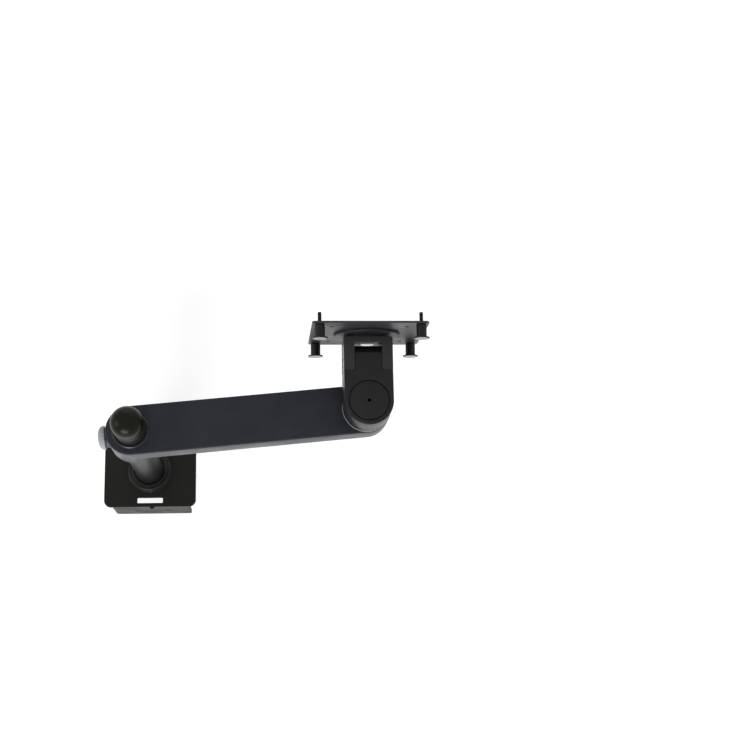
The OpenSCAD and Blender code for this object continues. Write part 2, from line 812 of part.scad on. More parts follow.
// Washer with a thin flange on top, undercut below it
module elbow_washer() {
    body_r = elbow_washer_r - washer_undercut;
    color(light_grey) at_elbow() translate([0, 0, beam_top]) {
        ring(body_r, elbow_pin_r + let_in, elbow_washer_t - washer_flange_t + 0.01);
        translate([0, 0, elbow_washer_t - washer_flange_t])
            ring(elbow_washer_r, elbow_pin_r + let_in, washer_flange_t);
    }
}

module elbow_pin() {
    head_z = floor_z + face_gap + top_washer_t;
    thread_end = beam_bottom + cover_t + 0.8;
    color(steel) at_elbow() difference() {
        union() {
            translate([0, 0, head_z]) cylinder(r = pin_head_r, h = pin_head_t);
            translate([0, 0, beam_top - 4]) cylinder(r = elbow_pin_r, h = head_z - beam_top + 5);
            translate([0, 0, thread_end]) cylinder(r = elbow_thread_r, h = beam_top - thread_end);
        }
        translate([0, 0, head_z + pin_head_t]) hex_socket(10, 4);
    }
}

module elbow_top_washer() {
    color(steel) at_elbow() translate([0, 0, floor_z + face_gap])
        ring(pocket_r - 1.5, elbow_pin_r + 0.05, top_washer_t);
}

// Two disc springs that keep the elbow stiff
module elbow_springs() {
    color(steel) at_elbow() translate([0, 0, elbow_boss_bottom - spring_t])
        ring(elbow_nut_r, elbow_thread_r + let_in, spring_t);
}

module elbow_nut() {
    color(steel) at_elbow() translate([0, 0, elbow_boss_bottom - spring_t - elbow_nut_h])
        difference() {
            cylinder(r = elbow_nut_r, h = elbow_nut_h, $fn = 6);
            translate([0, 0, -cut])
                cylinder(r = elbow_thread_r + 0.02, h = elbow_nut_h + 2 * cut);
        }
}

module head_body() {
    color(black) at_elbow() difference() {
        union() {
            translate([0, 0, head_bottom]) {
                round_body(head_r, head_h, head_edge_r, head_edge_r);
                rotate([0, 0, 90])
                    bar_body(tilt_reach, head_r, head_h, head_edge_r, head_edge_r);
            }
            translate([-tongue_w / 2, tilt_reach, tilt_z]) rotate([90, 0, 90])
                linear_extrude(tongue_w) round_end(tongue_r);
        }
        cheek_seats();
        translate([-head_r, tilt_reach, tilt_z]) bar_x(tilt_bolt_r + running, head_w);
        translate([0, 0, head_top - cap_plate_t])
            cylinder(r = elbow_cap_r + cap_groove, h = cap_plate_t + cut);
        translate([0, 0, floor_z]) cylinder(r = pocket_r, h = head_h);
        translate([0, 0, head_bottom - cut]) cylinder(r = elbow_pin_r + running, h = head_h);
    }
}

// Half disc of radius r towards +x, cut off at the height of the head body
module round_end(r) {
    intersection() {
        circle(r);
        translate([-1, -half_h]) square([r + 1, head_h]);
    }
}

// Room for the cheeks: round seats about the tilt axis on both sides of the tongue
module cheek_seats() {
    depth = head_r - tongue_w / 2 + cut;
    for (x = [-head_r - cut, tongue_w / 2]) translate([x, tilt_reach, tilt_z]) {
        bar_x(seat_r, depth);
        translate([0, 0, -head_h]) cube([depth, seat_r, 2 * head_h]);
    }
}

module elbow_cap() {
    skirt_r = pocket_r - 0.1;
    skirt_t = 0.08 * elbow_cap_r;
    skirt_h = 0.38 * (head_h - elbow_floor);
    color(black) at_elbow() translate([0, 0, head_top - cap_plate_t]) difference() {
        union() {
            round_body(elbow_cap_r, cap_plate_t, 0.4, 0.2);
            translate([0, 0, -skirt_h]) ring(skirt_r, skirt_r - skirt_t, skirt_h + 0.5);
        }
        translate([0, 0, -cut]) cylinder(r = cap_hole_r, h = cap_plate_t + 2 * cut, $fn = 48);
    }
}

// ---------------------------------------------------------------- tilting yoke

// Side view of the yoke: round end about the tilt axis, straight towards the web
module yoke_side() {
    intersection() {
        circle(cheek_r);
        translate([-cheek_r, -half_h]) square([cheek_r + 1, head_h]);
    }
    translate([0, -half_h]) square([web_reach + web_t, head_h]);
}

// Top view of the yoke: two cheeks and the web, with round outer corners
module yoke_top() {
    back = -cheek_r - yoke_corner_r;
    depth = web_reach + web_t - back;
    difference() {
        translate([0, back + depth / 2]) rounded_rect(head_w, depth, yoke_corner_r);
        translate([-yoke_gap / 2, back - cut]) square([yoke_gap, web_reach - back + cut]);
    }
}

module yoke() {
    color(black) at_tilt() difference() {
        intersection() {
            translate([-head_r, 0, 0]) rotate([90, 0, 90]) linear_extrude(head_w) yoke_side();
            translate([0, 0, -head_h]) linear_extrude(2 * head_h) yoke_top();
        }
        translate([-head_r - cut, 0, 0]) bar_x(tilt_bolt_r + 0.05, head_w + 2 * cut);
        for (x = [-head_r - cut, head_r - tilt_sink]) translate([x, 0, 0])
            bar_x(tilt_head_r + let_in, tilt_sink + cut);
        translate([0, web_reach - cut, 0]) bar_y(pivot_r + 0.05, web_t + 2 * cut);
        translate([0, web_reach, 0]) pivot_cone(0.05, cut);
        for (side = [-1, 1]) grub_at(side) bar_x(grub_r, grub_depth + cut);
    }
}

// Place of a grub screw hole: on the outer face of a cheek, X inwards
module grub_at(side) {
    rotate([0, 0, side > 0 ? 180 : 0]) translate([-head_r - cut, side * grub_back, 0])
        children();
}

module grub_screws() {
    sunk = 1.5;
    color(steel) at_tilt() for (side = [-1, 1]) grub_at(side)
        translate([cut + sunk, 0, 0]) difference() {
            bar_x(grub_r - 0.02, grub_depth - sunk - 0.1);
            rotate([0, -90, 0]) hex_socket(grub_r, 1.6);
        }
}

module tilt_bolt() {
    color(steel) at_tilt() difference() {
        union() {
            translate([-head_r + 0.5, 0, 0]) bar_x(tilt_head_r, tilt_sink - 0.5);
            translate([-head_r + 1, 0, 0]) bar_x(tilt_bolt_r, head_w - 2);
        }
        translate([-head_r + 0.5, 0, 0]) rotate([0, -90, 0]) hex_socket(tilt_bolt_r, 3);
    }
}

module tilt_nut() {
    color(steel) at_tilt() translate([head_r - tilt_sink, 0, 0]) difference() {
        rotate([0, 90, 0]) cylinder(r = tilt_head_r, h = tilt_sink - 0.5, $fn = 6);
        translate([-cut, 0, 0]) bar_x(tilt_bolt_r + 0.02, tilt_sink + 2 * cut);
    }
}

// Friction washers, which turn with the cheeks
module tilt_washers() {
    color(light_grey) at_tilt()
        for (x = [-yoke_gap / 2, yoke_gap / 2 - tilt_washer_t]) translate([x, 0, 0])
            rotate([0, 90, 0]) ring(tilt_washer_r, tilt_bolt_r + 0.05, tilt_washer_t);
}

// ---------------------------------------------------------------- turning screen plate

// Cone of the pivot's head, which as a tool is wider by grow and reaches out by over
module pivot_cone(grow, over) {
    slope = (pivot_head_r - pivot_r) / pivot_sink;
    translate([0, -over, 0]) rotate([-90, 0, 0])
        cylinder(r1 = pivot_head_r + grow + over * slope, r2 = pivot_r + grow, h = pivot_sink + over);
}

// Riveted pivot: a head sunk in the web, a shank, and an end flared into the screen plate
module pivot_bolt() {
    len = plate_y + plate_t - web_reach;
    color(steel) at_tilt() translate([0, web_reach, 0]) {
        pivot_cone(0, 0);
        bar_y(pivot_r, len);
        translate([0, len - pivot_flare, 0]) rotate([-90, 0, 0])
            cylinder(r1 = pivot_r, r2 = pivot_r + pivot_flare, h = pivot_flare);
    }
}

// Bore for the pivot, cut through a turning piece from the web outwards
module pivot_bore() {
    end = plate_y + plate_t;
    translate([0, web_reach, 0]) bar_y(pivot_r + running, end);
    translate([0, end - pivot_flare - 0.15, 0]) rotate([-90, 0, 0])
        cylinder(r1 = pivot_r + running, r2 = pivot_r + running + pivot_flare + cut,
                 h = pivot_flare + cut);
}

module rotation_spacer() {
    color(black) at_tilt() translate([0, web_reach + web_t, 0])
        rotate([-90, 0, 0]) ring(spacer_r, pivot_r + 0.05, spacer_t - face_gap);
}

module rotation_disc() {
    color(dark_grey) at_tilt() difference() {
        translate([0, plate_y, 0]) rotate([90, 0, 0]) round_body(disc_r, disc_t, 1.2, 0);
        pivot_bore();
    }
}

module vesa_plate() {
    color(dark_grey) at_tilt() difference() {
        translate([0, plate_y + plate_t, 0]) rotate([90, 0, 0]) linear_extrude(plate_t)
            rounded_rect(plate_w, plate_w, plate_corner_r);
        plate_holes(small_pitch, small_pitch, plate_hole_r);
        plate_holes(large_pitch, large_pitch, plate_hole_r);
        plate_holes(extra_span_x, extra_span_z, extra_hole_r);
        pivot_bore();
    }
}

// Four holes through the screen plate
module plate_holes(span_x, span_z, r) {
    for (x = [-1, 1], z = [-1, 1])
        translate([x * span_x / 2, plate_y - cut, z * span_z / 2])
            bar_y(r, plate_t + 2 * cut);
}

// Thumb screw in the given corner of the large hole pattern, with a necked stud
module thumb_screw(x, z) {
    root = 2;
    color(black) at_tilt()
        translate([x * large_pitch / 2, plate_y, z * large_pitch / 2]) rotate([90, 0, 0]) {
            translate([0, 0, face_gap]) cylinder(r = thumb_r, h = thumb_len - face_gap - 0.5);
            translate([0, 0, thumb_len - thumb_flange_t])
                round_body(thumb_flange_r, thumb_flange_t, 0.4, 0.9);
            translate([0, 0, -plate_t - 0.01]) cylinder(r = stud_neck_r, h = plate_t + root);
            translate([0, 0, -plate_t - stud_len]) cylinder(r = stud_r, h = stud_len);
        }
}

module thumb_screw_1() { thumb_screw(-1, 1); }
module thumb_screw_2() { thumb_screw(1, 1); }
module thumb_screw_3() { thumb_screw(1, -1); }
module thumb_screw_4() { thumb_screw(-1, -1); }

// ---------------------------------------------------------------- nodes

base_plate();
desk_pad();
clamp_bracket();
bracket_screws();
clamp_nut();
pole_boss();
pole_bolt();
pole_plug();
pole();
pole_cap();
pressure_foot();
foot_pad();
clamp_screw();
clamp_knob();
upper_bush();
pole_wiper();
lower_bush();
beam();
beam_cover();
cover_screws();
elbow_washer();
elbow_pin();
elbow_top_washer();
elbow_springs();
elbow_nut();
lock_shoe();
lock_screw();
lock_knob();
head_body();
elbow_cap();
yoke();
grub_screws();
tilt_bolt();
tilt_nut();
tilt_washers();
pivot_bolt();
rotation_spacer();
rotation_disc();
vesa_plate();
thumb_screw_1();
thumb_screw_2();
thumb_screw_3();
thumb_screw_4();
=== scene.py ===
"""Finish of a desk-clamp monitor arm: coats, mouldings, threads and knurls round its solid frame."""

import json
import logging
import math
from dataclasses import dataclass, field, replace
from enum import Enum

import bmesh
import bpy
import numpy as np
from mathutils import Matrix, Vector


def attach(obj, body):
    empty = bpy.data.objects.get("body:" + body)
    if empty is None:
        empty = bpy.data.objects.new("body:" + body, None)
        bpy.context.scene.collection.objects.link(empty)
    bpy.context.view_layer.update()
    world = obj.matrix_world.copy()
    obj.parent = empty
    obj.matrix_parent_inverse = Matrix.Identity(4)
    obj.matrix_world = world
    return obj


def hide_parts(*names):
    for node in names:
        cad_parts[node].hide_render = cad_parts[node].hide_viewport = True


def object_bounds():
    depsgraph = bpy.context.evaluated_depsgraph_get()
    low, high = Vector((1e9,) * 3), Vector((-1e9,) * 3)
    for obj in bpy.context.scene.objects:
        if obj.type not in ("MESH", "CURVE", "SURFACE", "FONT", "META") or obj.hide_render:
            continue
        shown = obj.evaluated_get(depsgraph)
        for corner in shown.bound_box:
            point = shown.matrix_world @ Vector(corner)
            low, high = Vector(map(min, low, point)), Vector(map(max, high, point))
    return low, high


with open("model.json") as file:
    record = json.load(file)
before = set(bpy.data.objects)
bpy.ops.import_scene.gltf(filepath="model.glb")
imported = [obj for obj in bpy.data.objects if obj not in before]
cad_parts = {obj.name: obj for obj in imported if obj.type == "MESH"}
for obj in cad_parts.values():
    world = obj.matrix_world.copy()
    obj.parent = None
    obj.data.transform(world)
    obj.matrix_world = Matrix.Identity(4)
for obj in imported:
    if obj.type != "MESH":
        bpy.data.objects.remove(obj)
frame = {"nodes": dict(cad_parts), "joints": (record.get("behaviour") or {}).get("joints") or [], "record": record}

CAD_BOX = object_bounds()
MM = 0.001
TURN = 2.0 * math.pi
TIP = 0.001  # Radius in millimetres at which a turned body closes on its axis.
RIM = 0.02  # Depth in millimetres below the widest point that still counts as the rim.
WELD = 1e-6  # Distance in metres within which the points of a new piece are merged.
ROUND_STEPS = 96  # Steps round a plain turned body.
RIB_POINTS = 9  # Points over the back of a rib.
RIB_SLOPE = 12.0  # How fast a rib rises at its ends, in heights over the rib's length.
SMOOTH_DEG = 35.0  # Edges of a new piece sharper than this stay sharp.
FINE_DEG = 60.0  # Edges of threads and grips sharper than this stay sharp.
SOLID_WELD = 2e-6  # Distance in metres within which a solid's points are merged.
FLAT_DEG = 0.6  # Faces of a solid that meet at less than this are joined.
SHARP_DEG = 28.0  # Edges of a solid sharper than this stay sharp.
BEVEL_DEG = 38.0  # Edges of a solid sharper than this are rounded.
WHITE = (1.0, 1.0, 1.0, 1.0)

logging.basicConfig(level=logging.INFO, format="%(message)s")
LOG = logging.getLogger("arm")

Colour = tuple[float, float, float]
Triple = tuple[float, float, float]
Corner = tuple[float, float, float]  # Radius, height and rounding, in millimetres.


# ---------------------------------------------------------------- axes


@dataclass(frozen=True)
class Axes:
    """A place and three directions at right angles, in the frame of the whole arm.

    Attributes:
        origin: Place of the local origin, in metres.
        x: Direction of the local X axis.
        y: Direction of the local Y axis.
        z: Direction of the local Z axis.
    """

    origin: np.ndarray
    x: np.ndarray
    y: np.ndarray
    z: np.ndarray

    @staticmethod
    def along(origin: np.ndarray, z: np.ndarray, x: np.ndarray) -> "Axes":
        """Axes with a given Z, and an X as near as possible to the one asked for.

        Args:
            origin: Place of the local origin, in metres.
            z: Direction of the local Z axis.
            x: Rough direction of the local X axis.

        Returns:
            The axes, all of unit length and at right angles.
        """
        z = np.asarray(z, float) / np.linalg.norm(z)
        x = np.asarray(x, float) - np.dot(x, z) * z
        x = x / np.linalg.norm(x)
        return Axes(np.asarray(origin, float), x, np.cross(z, x), z)

    def place(self, local: np.ndarray) -> np.ndarray:
        """Moves local points, any array whose last side is 3 long, into the arm's frame."""
        return self.origin + local @ np.stack([self.x, self.y, self.z])

    def local(self, points: np.ndarray) -> np.ndarray:
        """Turns points of the arm's frame, as rows of x, y and z, into local ones."""
        return (points - self.origin) @ np.stack([self.x, self.y, self.z]).T


def joint_axes(name: str, x: Triple = (1.0, 0.0, 0.0)) -> Axes:
    """Axes of a joint: origin on the joint, Z along it.

    Args:
        name: The joint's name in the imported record.
        x: Rough direction of the local X axis.

    Returns:
        The joint's axes.
    """
    joint = next(j for j in frame["joints"] if j["name"] == name)
    return Axes.along(np.array(joint["pos_m"]), np.array(joint["axis"]), np.array(x))


def solid_points(node: str) -> np.ndarray:
    """Reads the points of a solid of the frame.

    Args:
        node: Name of the solid.

    Returns:
        Rows of x, y and z, in metres.
    """
    mesh = frame["nodes"][node].data
    flat = np.empty(len(mesh.vertices) * 3, dtype=np.float32)
    mesh.vertices.foreach_get("co", flat)
    return flat.reshape(-1, 3).astype(float)


@dataclass(frozen=True)
class Extent:
    """How far a solid reaches along an axis and out from it, in millimetres.

    Attributes:
        start: Height of the lowest point along the axis.
        stop: Height of the highest point along the axis.
        radius: Distance of the farthest point from the axis.
        inner: Distance of the nearest point from the axis.
        rim_start: Height of the lowest point on the widest part.
        rim_stop: Height of the highest point on the widest part.
    """

    start: float
    stop: float
    radius: float
    inner: float
    rim_start: float
    rim_stop: float

    @staticmethod
    def of(node: str, axes: Axes) -> "Extent":
        """Measures a solid of the frame.

        Args:
            node: Name of the solid.
            axes: Axes whose Z is measured along.

        Returns:
            The solid's extent.
        """
        local = axes.local(solid_points(node)) / MM
        out = np.hypot(local[:, 0], local[:, 1])
        rim = local[out > out.max() - RIM, 2]
        ends = (local[:, 2].min(), local[:, 2].max(), out.max(), out.min(), rim.min(), rim.max())
        return Extent(*(float(end) for end in ends))


# ---------------------------------------------------------------- surfaces


def grid_faces(rows: int, columns: int, closed: bool) -> np.ndarray:
    """Quads of a grid of points, listed row by row.

    Args:
        rows: Number of rows of points.
        columns: Number of points in a row.
        closed: Whether each row runs back to its first point.

    Returns:
        One row of four point numbers for each quad.
    """
    across = columns if closed else columns - 1
    r, c = np.meshgrid(np.arange(rows - 1), np.arange(across), indexing="ij")
    nxt = (c + 1) % columns
    quads = [r * columns + c, r * columns + nxt, (r + 1) * columns + nxt, (r + 1) * columns + c]
    return np.stack(quads, axis=-1).reshape(-1, 4)


def new_piece(name: str, points: np.ndarray, faces: list, smooth_deg: float = SMOOTH_DEG,
              ) -> bpy.types.Object:
    """Makes a mesh object at the origin from points and faces.

    Args:
        name: The object's name.
        points: Points in metres, as rows of x, y and z.
        faces: Point numbers of each face.
        smooth_deg: Edges sharper than this stay sharp.

    Returns:
        The new object, linked to the scene.
    """
    mesh = bpy.data.meshes.new(name)
    mesh.from_pydata(points.reshape(-1, 3).tolist(), [], faces)
    work = bmesh.new()
    work.from_mesh(mesh)
    bmesh.ops.remove_doubles(work, verts=work.verts, dist=WELD)
    bmesh.ops.recalc_face_normals(work, faces=work.faces)
    work.to_mesh(mesh)
    work.free()
    mesh.shade_smooth()
    mesh.set_sharp_from_angle(angle=math.radians(smooth_deg))
    piece = bpy.data.objects.new(name, mesh)
    bpy.context.scene.collection.objects.link(piece)
    return piece


def lathe(name: str, axes: Axes, radius: np.ndarray, height: np.ndarray,
          smooth_deg: float = SMOOTH_DEG, ring: bool = False) -> bpy.types.Object:
    """Closed body from a grid of radii and heights round an axis.

    A point at row i and turn t is (r cos t, r sin t, h), with r and h read from the grids. A grid
    with one column is the same all round. The ends are closed by a face, or meet in a ring.

    Args:
        name: The object's name.
        axes: Axes whose Z the body turns about.
        radius: Radii in metres, rows by steps of the turn, or a single column.
        height: Heights in metres, in the same form.
        smooth_deg: Edges sharper than this stay sharp.
        ring: Whether the last row lies on the first one, round an open middle.

    Returns:
        The new object.
    """
    steps = max(radius.shape[1], height.shape[1])
    steps = ROUND_STEPS if steps == 1 else steps
    radius = np.broadcast_to(radius, (radius.shape[0], steps))
    height = np.broadcast_to(height, (height.shape[0], steps))
    turn = np.linspace(0.0, TURN, steps, endpoint=False)
    local = np.stack([radius * np.cos(turn), radius * np.sin(turn), height], axis=-1)
    rows = local.shape[0]
    faces = grid_faces(rows, steps, True).tolist()
    if not ring:
        faces.append(list(range(steps))[::-1])
        faces.append(list(range((rows - 1) * steps, rows * steps)))
    return new_piece(name, axes.place(local), faces, smooth_deg)


def rounded_profile(corners: list[Corner], steps: int = 5) -> np.ndarray:
    """Profile through corners, each rounded by a quadratic curve between its two shoulders.

    The curve at share t of its length is (1 - t)^2 start + 2 t (1 - t) corner + t^2 stop.

    Args:
        corners: Corners from the first end to the last. The end corners aren't rounded.
        steps: Points on each rounding.

    Returns:
        Rows of radius and height, in metres.
    """
    t = np.linspace(0.0, 1.0, steps)[:, None]
    stretches = [np.array([corners[0][:2]])]
    for before, here, after in zip(corners, corners[1:], corners[2:]):
        corner, rounding = np.array(here[:2]), here[2]
        if rounding == 0:
            stretches.append(corner[None, :])
            continue
        back, ahead = np.array(before[:2]) - corner, np.array(after[:2]) - corner
        start = corner + back / np.linalg.norm(back) * rounding
        stop = corner + ahead / np.linalg.norm(ahead) * rounding
        stretches.append((1 - t) ** 2 * start + 2 * t * (1 - t) * corner + t * t * stop)
    stretches.append(np.array([corners[-1][:2]]))
    return np.concatenate(stretches) * MM


def turned(name: str, axes: Axes, corners: list[Corner], ring: bool = False) -> bpy.types.Object:
    """Round body from a rounded profile.

    Args:
        name: The object's name.
        axes: Axes whose Z the body turns about.
        corners: Corners of the profile. A solid body is closed on its axis, at the heights of its
            first and last corners, and a ring runs back from its last corner to its first.
        ring: Whether the body is a ring round an open middle.

    Returns:
        The new object.
    """
    first, last = corners[0], corners[-1]
    if ring:
        corners = [*corners, first]
    else:
        corners = [(TIP, first[1], 0.0), *corners, (TIP, last[1], 0.0)]
    profile = rounded_profile(corners)
    return lathe(name, axes, profile[:, :1], profile[:, 1:], ring=ring)


def rod(name: str, path: np.ndarray, across: np.ndarray, up: np.ndarray, width: float,
        height: float) -> bpy.types.Object:
    """Low half-round rib along a path.

    A point at place p of the path and angle a, from 0 to half a turn, is
    p + across (w/2) cos a + up h sin a, and h falls to nothing at both ends of the path.

    Args:
        name: The object's name.
        path: Places along the rib's middle, in metres.
        across: Direction across the rib.
        up: Direction out of the surface.
        width: Width of the rib in millimetres.
        height: Height of the rib in millimetres.

    Returns:
        The new object.
    """
    angle = np.linspace(0.0, math.pi, RIB_POINTS)[None, :, None]
    along = np.linspace(0.0, 1.0, len(path))[:, None, None]
    rise = height * MM * np.clip(np.minimum(along, 1.0 - along) * RIB_SLOPE, 0.0, 1.0)
    side = across * (0.5 * width * MM) * np.cos(angle)
    points = path[:, None, :] + side + up * rise * np.sin(angle)
    return new_piece(name, points, grid_faces(len(path), RIB_POINTS, True).tolist())


def thread(name: str, axes: Axes, major: float, pitch: float, start: float, stop: float,
           ) -> bpy.types.Object:
    """Screw thread: the radius rises and falls once for each turn of a helix.

    The radius is major less the depth times one less a blunted triangle wave of the height over
    the pitch less the turn, and it fades to the root over the last pitch at both ends.

    Args:
        name: The object's name.
        axes: Axes whose Z is the screw's.
        major: Outer radius in millimetres.
        pitch: Rise of one turn in millimetres.
        start: Height of the lower end in millimetres.
        stop: Height of the upper end in millimetres.

    Returns:
        The new object.
    """
    steps, per_pitch = 32, 6
    depth, blunt = 0.55 * pitch, 0.25
    rows = int((stop - start) / pitch * per_pitch) + 1
    height = np.linspace(start, stop, rows)[:, None]
    turn = np.linspace(0.0, 1.0, steps, endpoint=False)[None, :]
    wave = np.abs(2.0 * ((height / pitch - turn) % 1.0) - 1.0)
    wave = np.clip((1.0 + 2.0 * blunt) * wave - blunt, 0.0, 1.0)
    fade = np.clip(np.minimum(height - start, stop - height) / pitch, 0.0, 1.0)
    radius = major - depth * (1.0 - wave * fade)
    return lathe(name, axes, radius * MM, height * MM, FINE_DEG)


def knurled(name: str, axes: Axes, radius: float, start: float, stop: float, depth: float,
            ridges: int) -> bpy.types.Object:
    """Grip with a diamond knurl: two sets of crossing grooves cut into a cylinder.

    The depth of cut at a point is the larger of two triangle waves, one of the turn plus the height
    and one of the turn less the height. It fades out at both ends, where the edge is rounded.

    Args:
        name: The object's name.
        axes: Axes whose Z is the grip's.
        radius: Outer radius in millimetres.
        start: Height of the lower end in millimetres.
        stop: Height of the upper end in millimetres.
        depth: Depth of the grooves in millimetres.
        ridges: Number of ridges round the grip.

    Returns:
        The new object.
    """
    per_ridge, edge_len, edge_drop = 4, 0.8, 0.35
    steps = ridges * per_ridge
    step_len = TURN * radius / steps
    rows = int((stop - start) / step_len)
    height = np.linspace(start, stop, rows)[:, None]
    turn = np.linspace(0.0, ridges, steps, endpoint=False)[None, :]
    lead = height / (per_ridge * step_len)
    crossing = [np.abs(2.0 * ((turn + sign * lead) % 1.0) - 1.0) for sign in (1.0, -1.0)]
    cut = np.maximum(crossing[0], crossing[1])
    edge = np.clip(np.minimum(height - start, stop - height) / edge_len, 0.0, 1.0)
    body = radius - depth * (cut * edge) - edge_drop * (1.0 - edge) ** 2
    return lathe(name, axes, body * MM, height * MM, FINE_DEG)


def softened(node: str, width: float, segments: int = 2) -> bpy.types.Object:
    """Copy of a solid with its sharp edges rounded, which stands for it.

    Args:
        node: Name of the solid.
        width: Width of the rounding in millimetres.
        segments: Steps across the rounding.

    Returns:
        The new object, with a live Bevel modifier.
    """
    mesh = frame["nodes"][node].data.copy()
    work = bmesh.new()
    work.from_mesh(mesh)
    bmesh.ops.remove_doubles(work, verts=work.verts, dist=SOLID_WELD)
    bmesh.ops.dissolve_limit(work, angle_limit=math.radians(FLAT_DEG), verts=work.verts,
                             edges=work.edges)
    work.to_mesh(mesh)
    work.free()
    mesh.materials.clear()
    mesh.shade_smooth()
    mesh.set_sharp_from_angle(angle=math.radians(SHARP_DEG))
    piece = bpy.data.objects.new(node + "_shell", mesh)
    bpy.context.scene.collection.objects.link(piece)
    bevel = piece.modifiers.new("edges", "BEVEL")
    bevel.width = width * MM
    bevel.segments = segments
    bevel.limit_method = "ANGLE"
    bevel.angle_limit = math.radians(BEVEL_DEG)
    bevel.harden_normals = True
    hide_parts(node)
    return piece


# ---------------------------------------------------------------- finishes


class Operation(Enum):
    """What a math node does with its two values."""

    ADD = "ADD"
    SUBTRACT = "SUBTRACT"
    MULTIPLY = "MULTIPLY"
    LOWER = "MINIMUM"
    HIGHER = "MAXIMUM"


def maths(tree: bpy.types.NodeTree, operation: Operation, a: bpy.types.NodeSocket | float,
          b: bpy.types.NodeSocket | float) -> bpy.types.NodeSocket:
    """Joins two values by an operation.

    Args:
        tree: The node tree that gets the node.
        operation: What is done with the values.
        a: First value, a socket or a number.
        b: Second value, a socket or a number.

    Returns:
        The result.
    """
    node = tree.nodes.new("ShaderNodeMath")
    node.operation = operation.value
    for value, target in zip((a, b), node.inputs):
        if isinstance(value, float):
            target.default_value = value
        else:
            tree.links.new(value, target)
    return node.outputs["Value"]


BROAD_M = 0.028  # Size in metres of the broad mottling.
SPECK_M = 0.0012  # Size in metres of the specks.
SPECK_SHADE = 0.06  # Share by which the specks vary the colour.
SPECK_HEIGHT = 0.6  # Height of the specks as a share of the grain's.
FINE_GLOSS = 0.04  # How far the grain varies the roughness.
COAT_ROUGHNESS = 0.25
RELIEF = 0.9  # Strength of the grain's relief.
NOISE_LOW, NOISE_HIGH = 0.3, 0.7  # Values between which most of a noise lies.
EDGE_MM = 0.5  # Reach of the wear from an edge.
EDGE_SAMPLES = 4
EDGE_GAIN = 6.0  # Wear for each unit by which the rounded normal turns away.
EDGE_BREAK = 1.4  # Most by which the noise multiplies the wear.


@dataclass(frozen=True)
class Finish:
    """A coat, moulding or bare metal, and how it has worn.

    Attributes:
        slot: Name of the record's material slot.
        colour: Base colour.
        worn: Colour that shows where the edges have rubbed.
        metallic: Share of metal in the surface, from 0 to 1.
        roughness: Mean roughness.
        spread: How far the roughness strays from its mean.
        mottle: Share by which the colour varies over a few centimetres.
        grain_mm: Size of the surface's grain.
        grain_depth: Height of the grain in millimetres.
        rub: Share of wear on the sharpest edges, from 0 to 1.
        shine: Strength of the mirror reflection, 0.5 for common paint.
        coat: Weight of a clear top layer.
        sheen: Weight of a dusty sheen.
        variant: Ending of the material's name where a slot has more than one finish.
    """

    slot: str
    colour: Colour
    worn: Colour
    metallic: float = 0.0
    roughness: float = 0.5
    spread: float = 0.08
    mottle: float = 0.12
    grain_mm: float = 0.7
    grain_depth: float = 0.03
    rub: float = 0.25
    shine: float = 0.4
    coat: float = 0.0
    sheen: float = 0.0
    variant: str = ""

    def material(self) -> bpy.types.Material:
        """Makes the finish's material, or returns it if it was made before.

        Returns:
            The material, with noise for colour, gloss and grain, and rubbed edges.
        """
        name = "finish_" + self.slot + self.variant
        made = bpy.data.materials.get(name)
        if made:
            return made
        material = bpy.data.materials.new(name)
        material.use_nodes = True
        nodes = FinishNodes(material)
        place = nodes.object_place()
        broad = nodes.noise(place, BROAD_M, detail=3.0)
        fine = nodes.noise(place, self.grain_mm * MM, detail=4.0)
        speck = nodes.noise(place, SPECK_M, detail=2.0)
        shade = nodes.spread(broad, 1.0 - self.mottle, 1.0 + self.mottle)
        specks = nodes.spread(speck, 1.0 - SPECK_SHADE, 1.0 + SPECK_SHADE)
        shade = nodes.times(shade, specks)
        rubbed = nodes.rubbed_edges(self.rub, fine)
        colour = nodes.tint(self.colour, shade)
        nodes.link(nodes.blend(colour, self.worn, rubbed), "Base Color")
        gloss = nodes.spread(broad, self.roughness - self.spread, self.roughness + self.spread)
        fine_gloss = nodes.spread(fine, -FINE_GLOSS, FINE_GLOSS)
        gloss = maths(nodes.tree, Operation.ADD, gloss, fine_gloss)
        nodes.link(gloss, "Roughness")
        nodes.link(nodes.bump(fine, speck, self.grain_depth * MM), "Normal")
        nodes.set("Metallic", self.metallic)
        nodes.set("Specular IOR Level", self.shine)
        nodes.set("Coat Weight", self.coat)
        nodes.set("Coat Roughness", COAT_ROUGHNESS)
        nodes.set("Sheen Weight", self.sheen)
        return material

    def dress(self, piece: bpy.types.Object) -> None:
        """Puts the finish on every slot of a piece.

        Args:
            piece: The object that is dressed.
        """
        material = self.material()
        if not piece.data.materials:
            piece.data.materials.append(material)
        for slot in piece.material_slots:
            slot.material = material


